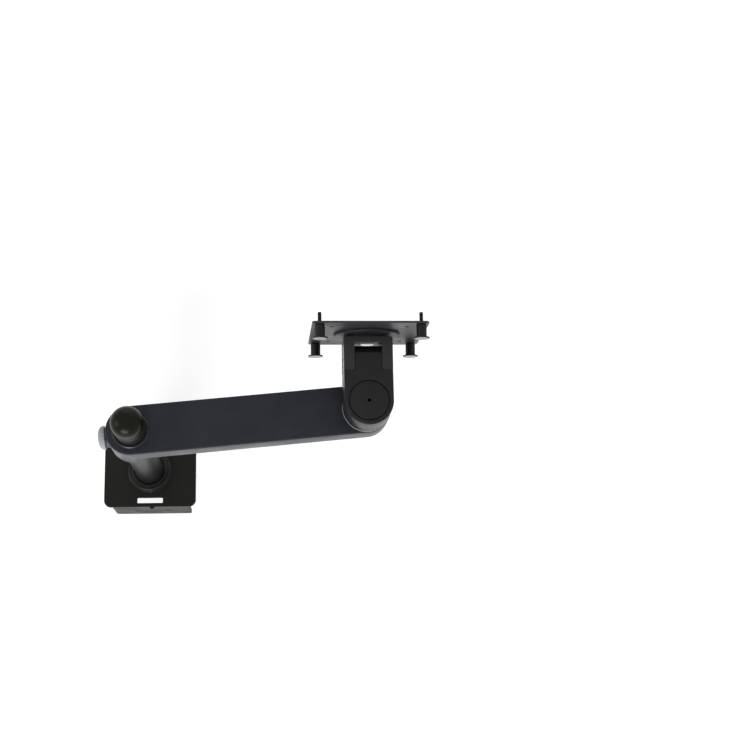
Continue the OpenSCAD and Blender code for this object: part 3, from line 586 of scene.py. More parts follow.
class FinishNodes:
    """Builds the nodes of one finish and keeps its shader."""

    def __init__(self, material: bpy.types.Material) -> None:
        """Takes over a material's node tree.

        Args:
            material: A new material that uses nodes.
        """
        self.tree = material.node_tree
        self.shader = self.tree.nodes["Principled BSDF"]

    def add(self, kind: str) -> bpy.types.Node:
        """Adds a node of the given kind."""
        return self.tree.nodes.new(kind)

    def join(self, source: bpy.types.NodeSocket, target: bpy.types.NodeSocket) -> None:
        """Links one socket to another."""
        self.tree.links.new(source, target)

    def link(self, source: bpy.types.NodeSocket, name: str) -> None:
        """Links a socket to one of the shader's inputs."""
        self.join(source, self.shader.inputs[name])

    def set(self, name: str, value: float) -> None:
        """Sets one of the shader's inputs to a plain number."""
        self.shader.inputs[name].default_value = value

    def object_place(self) -> bpy.types.NodeSocket:
        """Place on the object, as a vector socket."""
        return self.add("ShaderNodeTexCoord").outputs["Object"]

    def noise(self, place: bpy.types.NodeSocket, size: float, detail: float,
              ) -> bpy.types.NodeSocket:
        """Adds a noise.

        Args:
            place: Place on the object.
            size: Size of its waves in metres.
            detail: Number of finer waves laid over them.

        Returns:
            The noise as a socket from 0 to 1.
        """
        noise = self.add("ShaderNodeTexNoise")
        noise.inputs["Scale"].default_value = 1.0 / size
        noise.inputs["Detail"].default_value = detail
        self.join(place, noise.inputs["Vector"])
        return noise.outputs["Fac"]

    def spread(self, value: bpy.types.NodeSocket, lowest: float, highest: float,
               ) -> bpy.types.NodeSocket:
        """Maps the middle of a noise to a range of values.

        Args:
            value: The noise.
            lowest: Lower end of the range.
            highest: Upper end of the range.

        Returns:
            The mapped value.
        """
        ramp = self.add("ShaderNodeMapRange")
        for name, number in (("From Min", NOISE_LOW), ("From Max", NOISE_HIGH),
                             ("To Min", lowest), ("To Max", highest)):
            ramp.inputs[name].default_value = number
        self.join(value, ramp.inputs["Value"])
        return ramp.outputs["Result"]

    def times(self, a: bpy.types.NodeSocket, b: bpy.types.NodeSocket | float,
              ) -> bpy.types.NodeSocket:
        """Multiplies a value by another."""
        return maths(self.tree, Operation.MULTIPLY, a, b)

    def tint(self, colour: Colour, shade: bpy.types.NodeSocket) -> bpy.types.NodeSocket:
        """Makes a colour lighter or darker.

        Args:
            colour: The colour.
            shade: Value about 1 that it is multiplied by.

        Returns:
            The new colour.
        """
        node = self.add("ShaderNodeVectorMath")
        node.operation = "SCALE"
        node.inputs[0].default_value = colour
        self.join(shade, node.inputs["Scale"])
        return node.outputs["Vector"]

    def blend(self, colour: bpy.types.NodeSocket, other: Colour, share: bpy.types.NodeSocket,
              ) -> bpy.types.NodeSocket:
        """Mixes a plain colour into a coloured socket.

        Args:
            colour: The coloured socket.
            other: The plain colour.
            share: Share of the plain colour, from 0 to 1.

        Returns:
            The mixed colour.
        """
        node = self.add("ShaderNodeMix")
        node.data_type = "RGBA"
        self.join(share, node.inputs["Factor"])
        self.join(colour, node.inputs["A"])
        node.inputs["B"].default_value = (*other, 1.0)
        return node.outputs["Result"]

    def rubbed_edges(self, amount: float, fine: bpy.types.NodeSocket) -> bpy.types.NodeSocket:
        """Share of wear: high where the rounded normal leaves the flat one, broken up by noise.

        Args:
            amount: Wear on the sharpest edges, from 0 to 1.
            fine: Fine noise that breaks up the wear.

        Returns:
            The share as a socket from 0 to 1.
        """
        rounded = self.add("ShaderNodeBevel")
        rounded.samples = EDGE_SAMPLES
        rounded.inputs["Radius"].default_value = EDGE_MM * MM
        surface = self.add("ShaderNodeNewGeometry")
        dot = self.add("ShaderNodeVectorMath")
        dot.operation = "DOT_PRODUCT"
        self.join(rounded.outputs["Normal"], dot.inputs[0])
        self.join(surface.outputs["Normal"], dot.inputs[1])
        bend = maths(self.tree, Operation.SUBTRACT, 1.0, dot.outputs["Value"])
        worn = self.times(self.times(bend, EDGE_GAIN), self.spread(fine, 0.0, EDGE_BREAK))
        return self.times(maths(self.tree, Operation.LOWER, worn, 1.0), amount)

    def bump(self, fine: bpy.types.NodeSocket, speck: bpy.types.NodeSocket, depth: float,
             ) -> bpy.types.NodeSocket:
        """Normal with the grain's relief.

        Args:
            fine: Fine noise.
            speck: Coarser noise.
            depth: Height of the relief in metres.

        Returns:
            The normal.
        """
        height = maths(self.tree, Operation.ADD, fine, self.times(speck, SPECK_HEIGHT))
        bump = self.add("ShaderNodeBump")
        bump.inputs["Strength"].default_value = RELIEF
        bump.inputs["Distance"].default_value = depth
        self.join(height, bump.inputs["Height"])
        return bump.outputs["Normal"]


BLACK_STEEL = Finish("black_steel", (0.0098, 0.0096, 0.0084), (0.07, 0.07, 0.07), roughness=0.42,
                     grain_mm=0.55, grain_depth=0.05, rub=0.35, shine=0.16)
BLACK_CAST = Finish("black_cast", (0.0175, 0.017, 0.017), (0.09, 0.09, 0.09), roughness=0.36,
                    grain_mm=0.5, grain_depth=0.035, rub=0.3, shine=0.34)
HEAD_COAT = replace(BLACK_CAST, colour=(0.0135, 0.0135, 0.0152), shine=0.19, variant="_head")
# The boss's own black, made darker than the cast's, so that its colour also paints the shade on the boss's wall
# and round the pole's foot.
BOSS_SHADED_COAT = replace(BLACK_CAST, colour=(0.0095, 0.0095, 0.0092), roughness=0.25, shine=0.3,
                    variant="_boss")
# The parting line's grey is lighter than the cast's black: a painted highlight along the line.
SEAM_HIGHLIGHT_COAT = replace(BLACK_CAST, colour=(0.05, 0.05, 0.05), variant="_seam_highlight")
BEAM_COAT = Finish("blue_grey_cast", (0.0235, 0.0245, 0.0315), (0.10, 0.10, 0.12),
                   roughness=0.34, grain_mm=0.45, grain_depth=0.025, rub=0.3, shine=0.14)
BRACKET_COAT = Finish("grey_steel", (0.022, 0.022, 0.021), (0.15, 0.15, 0.15), roughness=0.5,
                      grain_mm=0.6, grain_depth=0.05, rub=0.35, shine=0.1)
POLE_COAT = Finish("pole_finish", (0.0175, 0.0175, 0.019), (0.25, 0.25, 0.25), metallic=0.4,
                   roughness=0.34, spread=0.03, grain_mm=0.5, grain_depth=0.006, mottle=0.05,
                   rub=0.25, shine=0.3)
PLATE_COAT = Finish("plate_finish", (0.032, 0.032, 0.036), (0.18, 0.18, 0.18), metallic=0.1,
                    roughness=0.40, grain_mm=0.55, grain_depth=0.035, rub=0.4, shine=0.2)
# The disc's own dark bluish grey, made darker still, so that its colour also paints the shade that a screen on the
# plate casts on it.
DISC_SHADED_COAT = replace(PLATE_COAT, colour=(0.016, 0.0155, 0.022), shine=0.22, variant="_disc")
ZINC = Finish("zinc_steel", (0.62, 0.62, 0.61), (0.75, 0.75, 0.75), metallic=1.0, roughness=0.24,
              spread=0.05, grain_mm=0.5, grain_depth=0.006, rub=0.3)
SCREW_COAT = replace(BRACKET_COAT, colour=(0.10, 0.10, 0.098), variant="_screw")
BLACK_PLASTIC = Finish("black_plastic", (0.0075, 0.0075, 0.0062), (0.05, 0.05, 0.05),
                       roughness=0.36, grain_mm=0.4, grain_depth=0.02, rub=0.15, shine=0.22)
CAP_PLASTIC = replace(BLACK_PLASTIC, colour=(0.0042, 0.0042, 0.001), roughness=0.32, shine=0.155,
                      variant="_cap")
RING_PLASTIC = replace(BLACK_PLASTIC, colour=(0.012, 0.012, 0.012), roughness=0.3, shine=0.5,
                       variant="_ring")
GREY_PLASTIC = Finish("grey_plastic", (0.335, 0.345, 0.36), (0.5, 0.5, 0.5), roughness=0.42,
                      grain_mm=0.4, grain_depth=0.015, rub=0.2, shine=0.06)
RUBBER = Finish("black_rubber", (0.010, 0.010, 0.010), (0.03, 0.03, 0.03), roughness=0.75,
                grain_mm=0.8, grain_depth=0.08, rub=0.2, shine=0.2, sheen=0.1)
BLACK_METAL = Finish("black_metal", (0.008, 0.008, 0.009), (0.2, 0.2, 0.2), metallic=0.2,
                     roughness=0.34, grain_mm=0.4, grain_depth=0.012, rub=0.35, shine=0.3)
TURNED_FACE = replace(BLACK_METAL, colour=(0.088, 0.088, 0.092), metallic=0.9, roughness=0.2,
                      spread=0.04, grain_depth=0.004, coat=0.25, variant="_face")
FINISHES = {f.slot: f for f in (BLACK_STEEL, BLACK_CAST, BEAM_COAT, BRACKET_COAT, POLE_COAT,
                                PLATE_COAT, ZINC, BLACK_PLASTIC, GREY_PLASTIC, RUBBER, BLACK_METAL)}
DARK_STEEL = replace(ZINC, colour=(0.03, 0.03, 0.031), roughness=0.5, variant="_dark")
SPECIAL = {"head_body": HEAD_COAT, "rotation_disc": DISC_SHADED_COAT, "elbow_pin": DARK_STEEL,
           "elbow_cap": replace(HEAD_COAT, slot="black_plastic")}


def finish_of(node: str) -> Finish:
    """Finish of a solid: its own, or else that of its material slot."""
    part = next(p for p in frame["record"]["subparts"] if p["node"] == node)
    return SPECIAL.get(node, FINISHES[part["material_slot"]])


# ---------------------------------------------------------------- sub-assemblies


@dataclass
class SubAssembly:
    """Pieces that ride on one body.

    Attributes:
        body: Name of the body in the frame.
        pieces: Names of the pieces added so far.
    """

    body: str
    pieces: list[str] = field(default_factory=list)

    def keep(self, piece: bpy.types.Object, finish: Finish) -> bpy.types.Object:
        """Dresses a new piece and lets it ride on the body.

        Args:
            piece: The new object.
            finish: Its finish.

        Returns:
            The same object.
        """
        finish.dress(piece)
        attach(piece, self.body)
        self.pieces.append(piece.name)
        return piece

    def report(self) -> None:
        """Logs the sub-assembly's pieces."""
        LOG.info("%s: %s", self.body, ", ".join(self.pieces) or "solids only")


@dataclass
class ThumbScrew(SubAssembly):
    """Knurled screw with an end flange and a threaded stud.

    Attributes:
        node: Name of the solid that it replaces.
        joint: Joint on its axis.
        grip_share: Radius of the grip as a share of the flange's.
        ridges: Number of ridges round the grip.
        knurl: Depth of the knurl in millimetres.
        plate_gap: Gap between the grip and the plate in millimetres.
        flange_over: How far the flange reaches past the solid's rim in millimetres.
        rim: Width of the rim round the turned face in millimetres.
        face_t: Thickness of the turned face in millimetres.
        recess: Depth of the round recess in the turned face in millimetres.
        recess_share: Radius of the recess as a share of the flange's.
        recess_slope: Width of the slope round the recess, as a share of the flange's radius.
        stud_r: Radius of the stud in millimetres.
        pitch: Pitch of the stud's thread in millimetres.
        root: How far the thread's root lies below its crest in millimetres.
        neck_in: How far the neck reaches into the grip in millimetres.
        rim_back: How far the rim stands behind the turned face in millimetres.
        slope: Width of the slopes where the rim meets the turned face, in millimetres.
        inlay: How far the flange lies in the end of the grip, in millimetres.
        overlap: How far two parts of the screw run into each other, in millimetres.
        fit: Clearance of the thread in millimetres.
    """

    node: str = ""
    joint: str = ""
    grip_share: float = 0.645
    ridges: int = 34
    knurl: float = 0.28
    plate_gap: float = 0.35
    flange_over: float = 0.5
    rim: float = 0.9
    face_t: float = 0.3
    recess: float = 0.12
    recess_share: float = 0.3
    recess_slope: float = 0.06
    stud_r: float = 2.0
    pitch: float = 0.7
    root: float = 0.4
    neck_in: float = 1.0
    rim_back: float = 0.05
    slope: float = 0.2
    inlay: float = 0.6
    overlap: float = 0.1
    fit: float = 0.02

    def build(self) -> None:
        """Makes the grip, the flange with its turned face and the stud with its neck."""
        axes = joint_axes(self.joint)
        size, plate = Extent.of(self.node, axes), Extent.of("vesa_plate", axes)
        grip_r, core_r = self.grip_share * size.radius, self.stud_r - self.root - self.fit
        end, behind = size.start, size.rim_stop + self.flange_over
        recess_r = self.recess_share * size.radius
        slope_r = recess_r + self.recess_slope * size.radius
        rim_r, rim_end, back = size.radius - self.rim, end + self.rim_back, behind - self.overlap
        inlay_r = grip_r - self.inlay
        grip = knurled(self.node + "_grip", axes, grip_r, behind - 3 * self.overlap,
                       -self.plate_gap, self.knurl, self.ridges)
        flange = turned(self.node + "_flange", axes, [
            (rim_r, end + self.face_t, 0.0), (rim_r + self.slope, rim_end, 0.1),
            (size.radius, rim_end, 0.5), (size.radius, back, 0.4), (inlay_r, back, 0.0),
            (inlay_r, behind - self.inlay, 0.0)])
        face = turned(self.node + "_face", axes, [
            (recess_r, end + self.recess, 0.2), (slope_r, end, 0.2), (rim_r - self.slope, end, 0.2),
            (rim_r + self.overlap, rim_end + self.face_t, 0.0)])
        stud = thread(self.node + "_stud", axes, self.stud_r - self.fit, self.pitch,
                      plate.stop + self.overlap, size.stop)
        neck = turned(self.node + "_neck", axes, [
            (core_r, -self.neck_in, 0.0), (core_r, plate.stop + 3 * self.overlap, 0.0)])
        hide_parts(self.node)
        for piece in (grip, flange, stud, neck):
            self.keep(piece, BLACK_METAL)
        self.keep(face, TURNED_FACE)


@dataclass
class Post(SubAssembly):
    """Round parts at the foot and the top of the pole, with their sizes in millimetres.

    Attributes:
        fit: Clearance to the pole.
        dome_steps: Places along the cap's dome.
        seam: Depth of the groove under the cap's dome.
        seam_at: Height of the groove's middle above the pole's end.
        seam_half: Half the height of the groove.
        foot_h: Height of the boss's foot ring.
        set_back: How far the boss's wall stands behind its foot ring.
        top_round: Rounding of the boss's top edge.
        undercut: Depth of the groove above the boss's foot.
        undercut_h: Height of that groove.
        moat: Width of the ring-shaped recess round the pole's foot.
        moat_h: Depth of that recess.
        groove_in: Distance of the top face's ring groove from the boss's wall.
        groove_w: Width of that groove.
        groove_h: Depth of that groove.
    """

    fit: float = 0.05
    dome_steps: int = 40
    seam: float = 0.25
    seam_at: float = 0.7
    seam_half: float = 0.2
    foot_h: float = 1.4
    set_back: float = 0.9
    top_round: float = 1.4
    undercut: float = 1.0
    undercut_h: float = 3.0
    moat: float = 1.6
    moat_h: float = 3.5
    groove_in: float = 3.9
    groove_w: float = 1.3
    groove_h: float = 2.6

    def build(self) -> None:
        """Makes the domed cap and the stepped boss."""
        axes = joint_axes("arm_swing")
        self.cap(axes)
        self.boss(axes)

    def cap(self, axes: Axes) -> None:
        """Cap with a half-elliptical dome, a seam at its foot and a spigot in the pole.

        The dome's radius is R cos a and its height is h sin a, with a from a quarter turn to 0.

        Args:
            axes: Axes of the pole.
        """
        size, pole = Extent.of("pole_cap", axes), Extent.of("pole", axes)
        angle = np.linspace(math.pi / 2, 0.0, self.dome_steps)
        rise = (size.stop - size.rim_stop) * np.sin(angle)
        dome = np.stack([size.radius * np.cos(angle), size.rim_stop + rise], axis=1)
        dome[0, 0] = TIP
        spigot_r = pole.inner - self.fit
        seam = pole.stop + self.seam_at
        side = rounded_profile([
            (size.radius, size.rim_stop, 0.0), (size.radius, seam + self.seam_half, 0.05),
            (size.radius - self.seam, seam, 0.05), (size.radius, seam - self.seam_half, 0.05),
            (size.radius, pole.stop, 0.1), (spigot_r, pole.stop, 0.0), (spigot_r, size.start, 0.3),
            (TIP, size.start, 0.0)])
        profile = np.concatenate([dome * MM, side])
        piece = lathe("pole_cap_dome", axes, profile[:, :1], profile[:, 1:])
        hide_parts("pole_cap")
        self.keep(piece, CAP_PLASTIC)

    def boss(self, axes: Axes) -> None:
        """Boss with a foot ring, a groove over it, and a ring groove and a recess in its top.

        Args:
            axes: Axes of the pole.
        """
        size, pole = Extent.of("pole_boss", axes), Extent.of("pole", axes)
        inner, wall = pole.radius + self.fit, size.radius - self.set_back
        moat, moat_floor = inner + self.moat, size.stop - self.moat_h
        foot = size.start + self.foot_h
        neck, shoulder = wall - self.undercut, foot + self.undercut_h
        groove, groove_floor = wall - self.groove_in, size.stop - self.groove_h
        groove_out = groove + self.groove_w
        piece = turned("pole_boss_ring", axes, [
            (inner, size.start, 0.0), (size.radius, size.start, 0.0), (size.radius, foot, 0.6),
            (neck, foot, 0.05), (neck, shoulder, 0.05), (wall, shoulder, 0.2),
            (wall, size.stop, self.top_round), (groove_out, size.stop, 0.1),
            (groove_out, groove_floor, 0.1), (groove, groove_floor, 0.1), (groove, size.stop, 0.3),
            (moat, size.stop, 0.6), (moat, moat_floor, 0.1), (inner, moat_floor, 0.0)], ring=True)
        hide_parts("pole_boss")
        # The boss's darkened colour paints the shade on its wall and round the pole's foot.
        self.keep(piece, BOSS_SHADED_COAT)


@dataclass
class BracketScrews(SubAssembly):
    """Button-headed screws that hold the bracket to the base plate's flange.

    Attributes:
        shank_r: Radius of the shank in millimetres.
        head_h: Height of the head in millimetres.
        socket_r: Radius of the recess in the head in millimetres.
        socket: Depth of the recess in millimetres.
        crown_share: Radius of the head's flat crown as a share of the head's.
        shoulder_share: Height of the head's shoulder as a share of the head's.
        shoulder_in: How far the shoulder stands in from the head's edge in millimetres.
        edge_h: Height of the head's straight edge in millimetres.
    """

    shank_r: float = 2.5
    head_h: float = 1.6
    socket_r: float = 1.5
    socket: float = 0.9
    crown_share: float = 0.6
    shoulder_share: float = 0.45
    shoulder_in: float = 0.5
    edge_h: float = 0.2

    def build(self) -> None:
        """Makes one screw on each side, where the solid has them."""
        points = solid_points("bracket_screws")
        middle = 0.5 * (points[:, 0].min() + points[:, 0].max())
        for side, chosen in (("left", points[:, 0] < middle), ("right", points[:, 0] > middle)):
            lowest, highest = points[chosen].min(axis=0), points[chosen].max(axis=0)
            centre = 0.5 * (lowest + highest)
            centre[1] = lowest[1]
            axes = Axes.along(centre, np.array([0.0, 1.0, 0.0]), np.array([1.0, 0.0, 0.0]))
            screw = self.screw("bracket_screw_" + side, axes, 0.5 * (highest - lowest)[0] / MM,
                               (highest - lowest)[1] / MM)
            if side == "left":
                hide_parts("bracket_screws")
            self.keep(screw, SCREW_COAT)

    def screw(self, name: str, axes: Axes, head_r: float, length: float) -> bpy.types.Object:
        """One screw with a domed head and a round recess.

        Args:
            name: The object's name.
            axes: Axes whose origin is the head's outer end and whose Z runs into the bracket.
            head_r: Radius of the head in millimetres.
            length: Length over all in millimetres.

        Returns:
            The new object.
        """
        return turned(name, axes, [
            (self.socket_r, self.socket, 0.0), (self.socket_r, 0.0, 0.1),
            (self.crown_share * head_r, 0.05, 0.4),
            (head_r - self.shoulder_in, self.shoulder_share * self.head_h, 0.6),
            (head_r, self.head_h - self.edge_h, 0.1), (head_r, self.head_h, 0.0),
            (self.shank_r, self.head_h, 0.0), (self.shank_r, length, 0.3)])


@dataclass
class Clamp(SubAssembly):
    """Screw with a rolled thread and the lobed knob at its lower end.

    Attributes:
        pitch: Pitch of the thread in millimetres.
        lobes: Number of lobes round the knob.
        waist: Depth of the hollows between the lobes, as a share of the radius.
        swell: Power that gives the lobes their round backs.
        rounding: Rounding of the knob's faces in millimetres.
        collar: Height of the cone on top of the knob in millimetres.
        steps: Steps round the knob.
        arc_steps: Places along each rounding.
        sharp_deg: Angle in degrees from which an edge of the knob is shaded sharp.
    """

    pitch: float = 1.5
    lobes: int = 6
    waist: float = 0.2
    swell: float = 0.7
    rounding: float = 2.5
    collar: float = 4.0
    steps: int = 240
    arc_steps: int = 10
    sharp_deg: float = 50.0

    def build(self) -> None:
        """Makes the threaded screw and the knob."""
        axes = joint_axes("clamp_turn")
        size = Extent.of("clamp_screw", axes)
        screw = thread("clamp_screw_thread", axes, size.radius, self.pitch, size.start, size.stop)
        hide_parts("clamp_screw")
        self.keep(screw, ZINC)
        self.knob(axes)

    def knob(self, axes: Axes) -> None:
        """Knob whose radius swells and sinks once for each lobe.

        The radius at turn t is R (1 - w (1 - |cos(n t / 2)|^p)), with p the swell. It is drawn in
        near both faces along a quarter circle, with a cone from its waist up to the collar.

        Args:
            axes: Axes of the clamp screw.
        """
        size = Extent.of("clamp_knob", axes)
        top = size.stop - self.collar
        slope = np.linspace(0.0, math.pi / 2, self.arc_steps)
        inward = self.rounding * (1 - np.cos(slope))
        back = self.rounding * (1 - np.sin(slope))
        inset = np.concatenate([inward[::-1], inward])[:, None]
        side = np.concatenate([size.start + back[::-1], top - back])[:, None]
        turn = np.linspace(0.0, TURN, self.steps, endpoint=False)[None, :]
        lobe = np.abs(np.cos(self.lobes * turn / 2)) ** self.swell
        outline = size.radius * (1 - self.waist * (1 - lobe))
        waist_r = size.radius * (1 - 2 * self.waist)
        cone = np.array([[waist_r], [waist_r - self.collar], [TIP]])
        whole = np.ones_like(turn)
        radius = np.concatenate([TIP * whole, outline - inset, cone * whole])
        height = np.concatenate([[[size.start]], side, [[top], [size.stop], [size.stop]]])
        piece = lathe("clamp_knob_lobed", axes, radius * MM, height * MM, self.sharp_deg)
        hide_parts("clamp_knob")
        self.keep(piece, BLACK_PLASTIC)


@dataclass
class Collar(SubAssembly):
    """Bushes with rounded flanges, and the wiper ring in the upper one, in millimetres.

    Attributes:
        fit: Clearance between the bushes and the hub's bore.
        bevel: Width of the slope round the upper flange.
        flange_t: Thickness of the lower flange.
        lip: Width of the wiper's lip.
        lip_slope: Height of the slope on top of the lip.
    """

    fit: float = 0.035
    bevel: float = 0.9
    flange_t: float = 2.5
    lip: float = 0.5
    lip_slope: float = 0.45

    def build(self) -> None:
        """Makes both bushes and the wiper."""
        axes = joint_axes("arm_swing")
        upper, lower = Extent.of("upper_bush", axes), Extent.of("lower_bush", axes)
        wiper = Extent.of("pole_wiper", axes)
        sleeve = Extent.of("beam", axes).inner - self.fit
        top = turned("upper_bush_ring", axes, [
            (upper.inner, upper.start, 0.0), (sleeve, upper.start, 0.3),
            (sleeve, upper.rim_start, 0.0), (upper.radius, upper.rim_start, 0.1),
            (upper.radius, upper.stop - self.bevel, 0.2),
            (upper.radius - self.bevel, upper.stop, 0.2), (wiper.radius, upper.stop, 0.2),
            (wiper.radius, wiper.start, 0.0), (upper.inner, wiper.start, 0.0)], ring=True)
        low_flange = lower.start + self.flange_t
        bottom = turned("lower_bush_ring", axes, [
            (lower.inner, lower.start, 0.0), (lower.radius, lower.start, 0.6),
            (lower.radius, low_flange, 0.6), (sleeve, low_flange, 0.0),
            (sleeve, lower.stop, 0.3), (lower.inner, lower.stop, 0.0)], ring=True)
        lip_r = wiper.inner + self.lip
        lip = turned("pole_wiper_lip", axes, [
            (lip_r, wiper.start, 0.0), (wiper.radius, wiper.start, 0.0),
            (wiper.radius, wiper.stop, 0.15), (lip_r + 0.05, wiper.stop - self.lip_slope, 0.1),
            (wiper.inner, wiper.stop, 0.1)], ring=True)
        for piece, node, finish in ((top, "upper_bush", RING_PLASTIC), (lip, "pole_wiper", RUBBER),
                                    (bottom, "lower_bush", GREY_PLASTIC)):
            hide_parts(node)
            self.keep(piece, finish)


@dataclass
class LockKnob(SubAssembly):
    """Domed knob with fine finger grooves.

    Attributes:
        grips: Number of grooves round the rim.
        depth: Depth of the grooves in millimetres.
        square: Power of the outline; 2 gives an ellipse, and more gives a squarer one.
        rear_in: How far the rear edge is drawn in, in millimetres.
        rear_h: Height of the slope at the rear edge in millimetres.
        rows: Places from the rear edge to the middle of the face.
        grip_steps: Steps round each groove.
        face_fade: How fast the grooves fade towards the middle of the face.
        rear_fade: How fast the grooves deepen from the rear edge.
        rear_share: Share of their depth that the grooves have at the rear edge.
    """

    grips: int = 24
    depth: float = 0.4
    square: float = 2.6
    rear_in: float = 0.5
    rear_h: float = 0.4
    rows: int = 36
    grip_steps: int = 12
    face_fade: float = 1.6
    rear_fade: float = 12.0
    rear_share: float = 0.4

    def build(self) -> None:
        """Makes the knob.

        The side and face follow a super-ellipse, r = R (1 - u^k)^(1/k) with u the share of the
        thickness and k the outline's power; each groove takes depth (0.5 + 0.5 cos n t)^3 from the
        radius and fades on the face and at the rear edge.
        """
        axes = joint_axes("lock_turn", (0.0, 0.0, 1.0))
        size = Extent.of("lock_knob", axes)
        side = 1.0 if abs(size.stop) > abs(size.start) else -1.0
        near, far = sorted((abs(size.start), abs(size.stop)))
        share = np.sin(np.linspace(0.0, math.pi / 2, self.rows))[:, None]
        turn = np.linspace(0.0, TURN, self.grips * self.grip_steps, endpoint=False)[None, :]
        outline = size.radius * (1 - share ** self.square) ** (1 / self.square)
        fade = (np.clip(self.face_fade * (1 - share), 0.0, 1.0)
                * np.clip(share * self.rear_fade + self.rear_share, 0.0, 1.0))
        cut = self.depth * (0.5 + 0.5 * np.cos(self.grips * turn)) ** 3
        radius = np.maximum(outline - cut * fade, TIP)
        height = near + (far - near) * share
        height[0] += self.rear_h
        radius = np.concatenate([np.full_like(turn, TIP), radius[:1] - self.rear_in, radius])
        height = np.maximum.accumulate(np.concatenate([[[near], [near]], height]), axis=0)
        piece = lathe("lock_knob_dome", axes, radius * MM, side * height * MM, FINE_DEG)
        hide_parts("lock_knob")
        self.keep(piece, GREY_PLASTIC)


@dataclass
class Rivet(SubAssembly):
    """Pivot that holds the screen plate to the fork, with its head sunk in the web.

    Attributes:
        shank_r: Radius of the shank in millimetres.
        sink: Depth of the head's cone in millimetres.
        flare: How far the other end is spread in millimetres.
        dimple_r: Radius of the dimple in the spread end in millimetres.
        dimple: Depth of the dimple, and how much narrower its floor is, in millimetres.
    """

    shank_r: float = 4.0
    sink: float = 2.2
    flare: float = 1.8
    dimple_r: float = 2.0
    dimple: float = 0.8

    def build(self) -> None:
        """Makes the rivet: a flat head with a broken edge, a shank and a spread, dimpled end."""
        axes = joint_axes("screen_turn")
        size = Extent.of("pivot_bolt", axes)
        piece = turned("pivot_rivet", axes, [
            (size.radius, size.start, 0.12), (self.shank_r, size.start + self.sink, 0.1),
            (self.shank_r, size.stop - self.flare, 0.1),
            (self.shank_r + self.flare, size.stop, 0.1), (self.dimple_r, size.stop, 0.3),
            (self.dimple_r - self.dimple, size.stop - self.dimple, 0.2)])
        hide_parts("pivot_bolt")
        self.keep(piece, ZINC)


@dataclass
class PartingLine(SubAssembly):
    """Thin raised line that the mould leaves along the top of the fork's web, coloured lighter than the cast as a
    painted highlight.

    Attributes:
        width: Width of the line in millimetres.
        rise: Height of the line in millimetres.
        margin: Distance that it keeps from both edges of the web, in millimetres.
        steps: Places along the line.
    """

    width: float = 0.6
    rise: float = 0.14
    margin: float = 0.7
    steps: int = 24

    def build(self) -> None:
        """Lays the line on the web, from over the rivet's head to the disc's side."""
        axes = joint_axes("screen_turn")
        rivet = Extent.of("pivot_bolt", axes)
        yoke = axes.local(solid_points("yoke")) / MM
        web = yoke[yoke[:, 2] > rivet.start - 0.1]
        side = 1.0 if axes.y[2] > 0 else -1.0
        along = np.linspace(rivet.start + self.margin, web[:, 2].max() - self.margin, self.steps)
        path = np.zeros((self.steps, 3))
        path[:, 1] = side * (side * web[:, 1]).max()
        path[:, 2] = along
        line = rod("yoke_parting_line", axes.place(path * MM), axes.x, side * axes.y, self.width,
                   self.rise)
        # The line's lighter grey is a painted highlight.
        self.keep(line, SEAM_HIGHLIGHT_COAT)


@dataclass
class RoundedSolids(SubAssembly):
    """Solids of one body that keep their shape and get rounded edges.

    Attributes:
        edges: Width of the rounding on each solid, in millimetres.
    """

    edges: dict[str, float] = field(default_factory=dict)

    def build(self) -> None:
        """Rounds the edges of each named solid and dresses the copy."""
        for node, width in self.edges.items():
            self.keep(softened(node, width), finish_of(node))


def dress_solids() -> None:
    """Gives every solid of the frame the finish of its slot."""
    for name, solid in frame["nodes"].items():
        finish_of(name).dress(solid)


# ---------------------------------------------------------------- stage


@dataclass(frozen=True)
class Lamp:
    """A rectangular soft lamp that points at the arm.

    Attributes:
        name: The lamp's name.
        place: Where it stands, in metres.
        size: Width and height, in metres.
        power: Power in watts.
    """

    name: str
    place: Triple
    size: tuple[float, float]
    power: float

    def build(self, target: np.ndarray) -> None:
        """Puts up the lamp.

        Args:
            target: The point that it faces.
        """
        data = bpy.data.lights.new(self.name, "AREA")
        data.shape = "RECTANGLE"
        data.size, data.size_y = self.size
        data.energy = self.power
        lamp = bpy.data.objects.new(self.name, data)
        lamp.location = self.place
        lamp.matrix_world = facing(np.array(self.place), target - np.array(self.place),
                                   np.array([0.0, 0.0, 1.0]))
        bpy.context.scene.collection.objects.link(lamp)


def facing(place: np.ndarray, direction: np.ndarray, up: np.ndarray) -> Matrix:
    """Matrix of a camera or lamp that looks along a direction.

    Args:
        place: Where it stands.
        direction: Where it looks.
        up: Rough direction of the top of its picture.

    Returns:
        The matrix, with the local -Z axis along the direction.
    """
    turned_to = Axes.along(place, -direction, np.cross(up, -direction))
    columns = np.stack([turned_to.x, turned_to.y, turned_to.z, turned_to.origin], axis=1)
    return Matrix([*columns.tolist(), [0.0, 0.0, 0.0, 1.0]])


def seen_rays(tree: bpy.types.NodeTree) -> bpy.types.NodeSocket:
    """Value of 1 for rays from the camera, from a mirror-like surface or through a clear one.

    Args:
        tree: The node tree that gets the nodes.

    Returns:
        The value's socket; it is 0 for rays that only carry soft light.
    """
    path = tree.nodes.new("ShaderNodeLightPath")
    total: bpy.types.NodeSocket = path.outputs["Is Camera Ray"]
    for name in ("Is Glossy Ray", "Is Transmission Ray"):
        total = maths(tree, Operation.HIGHER, total, path.outputs[name])
    return total


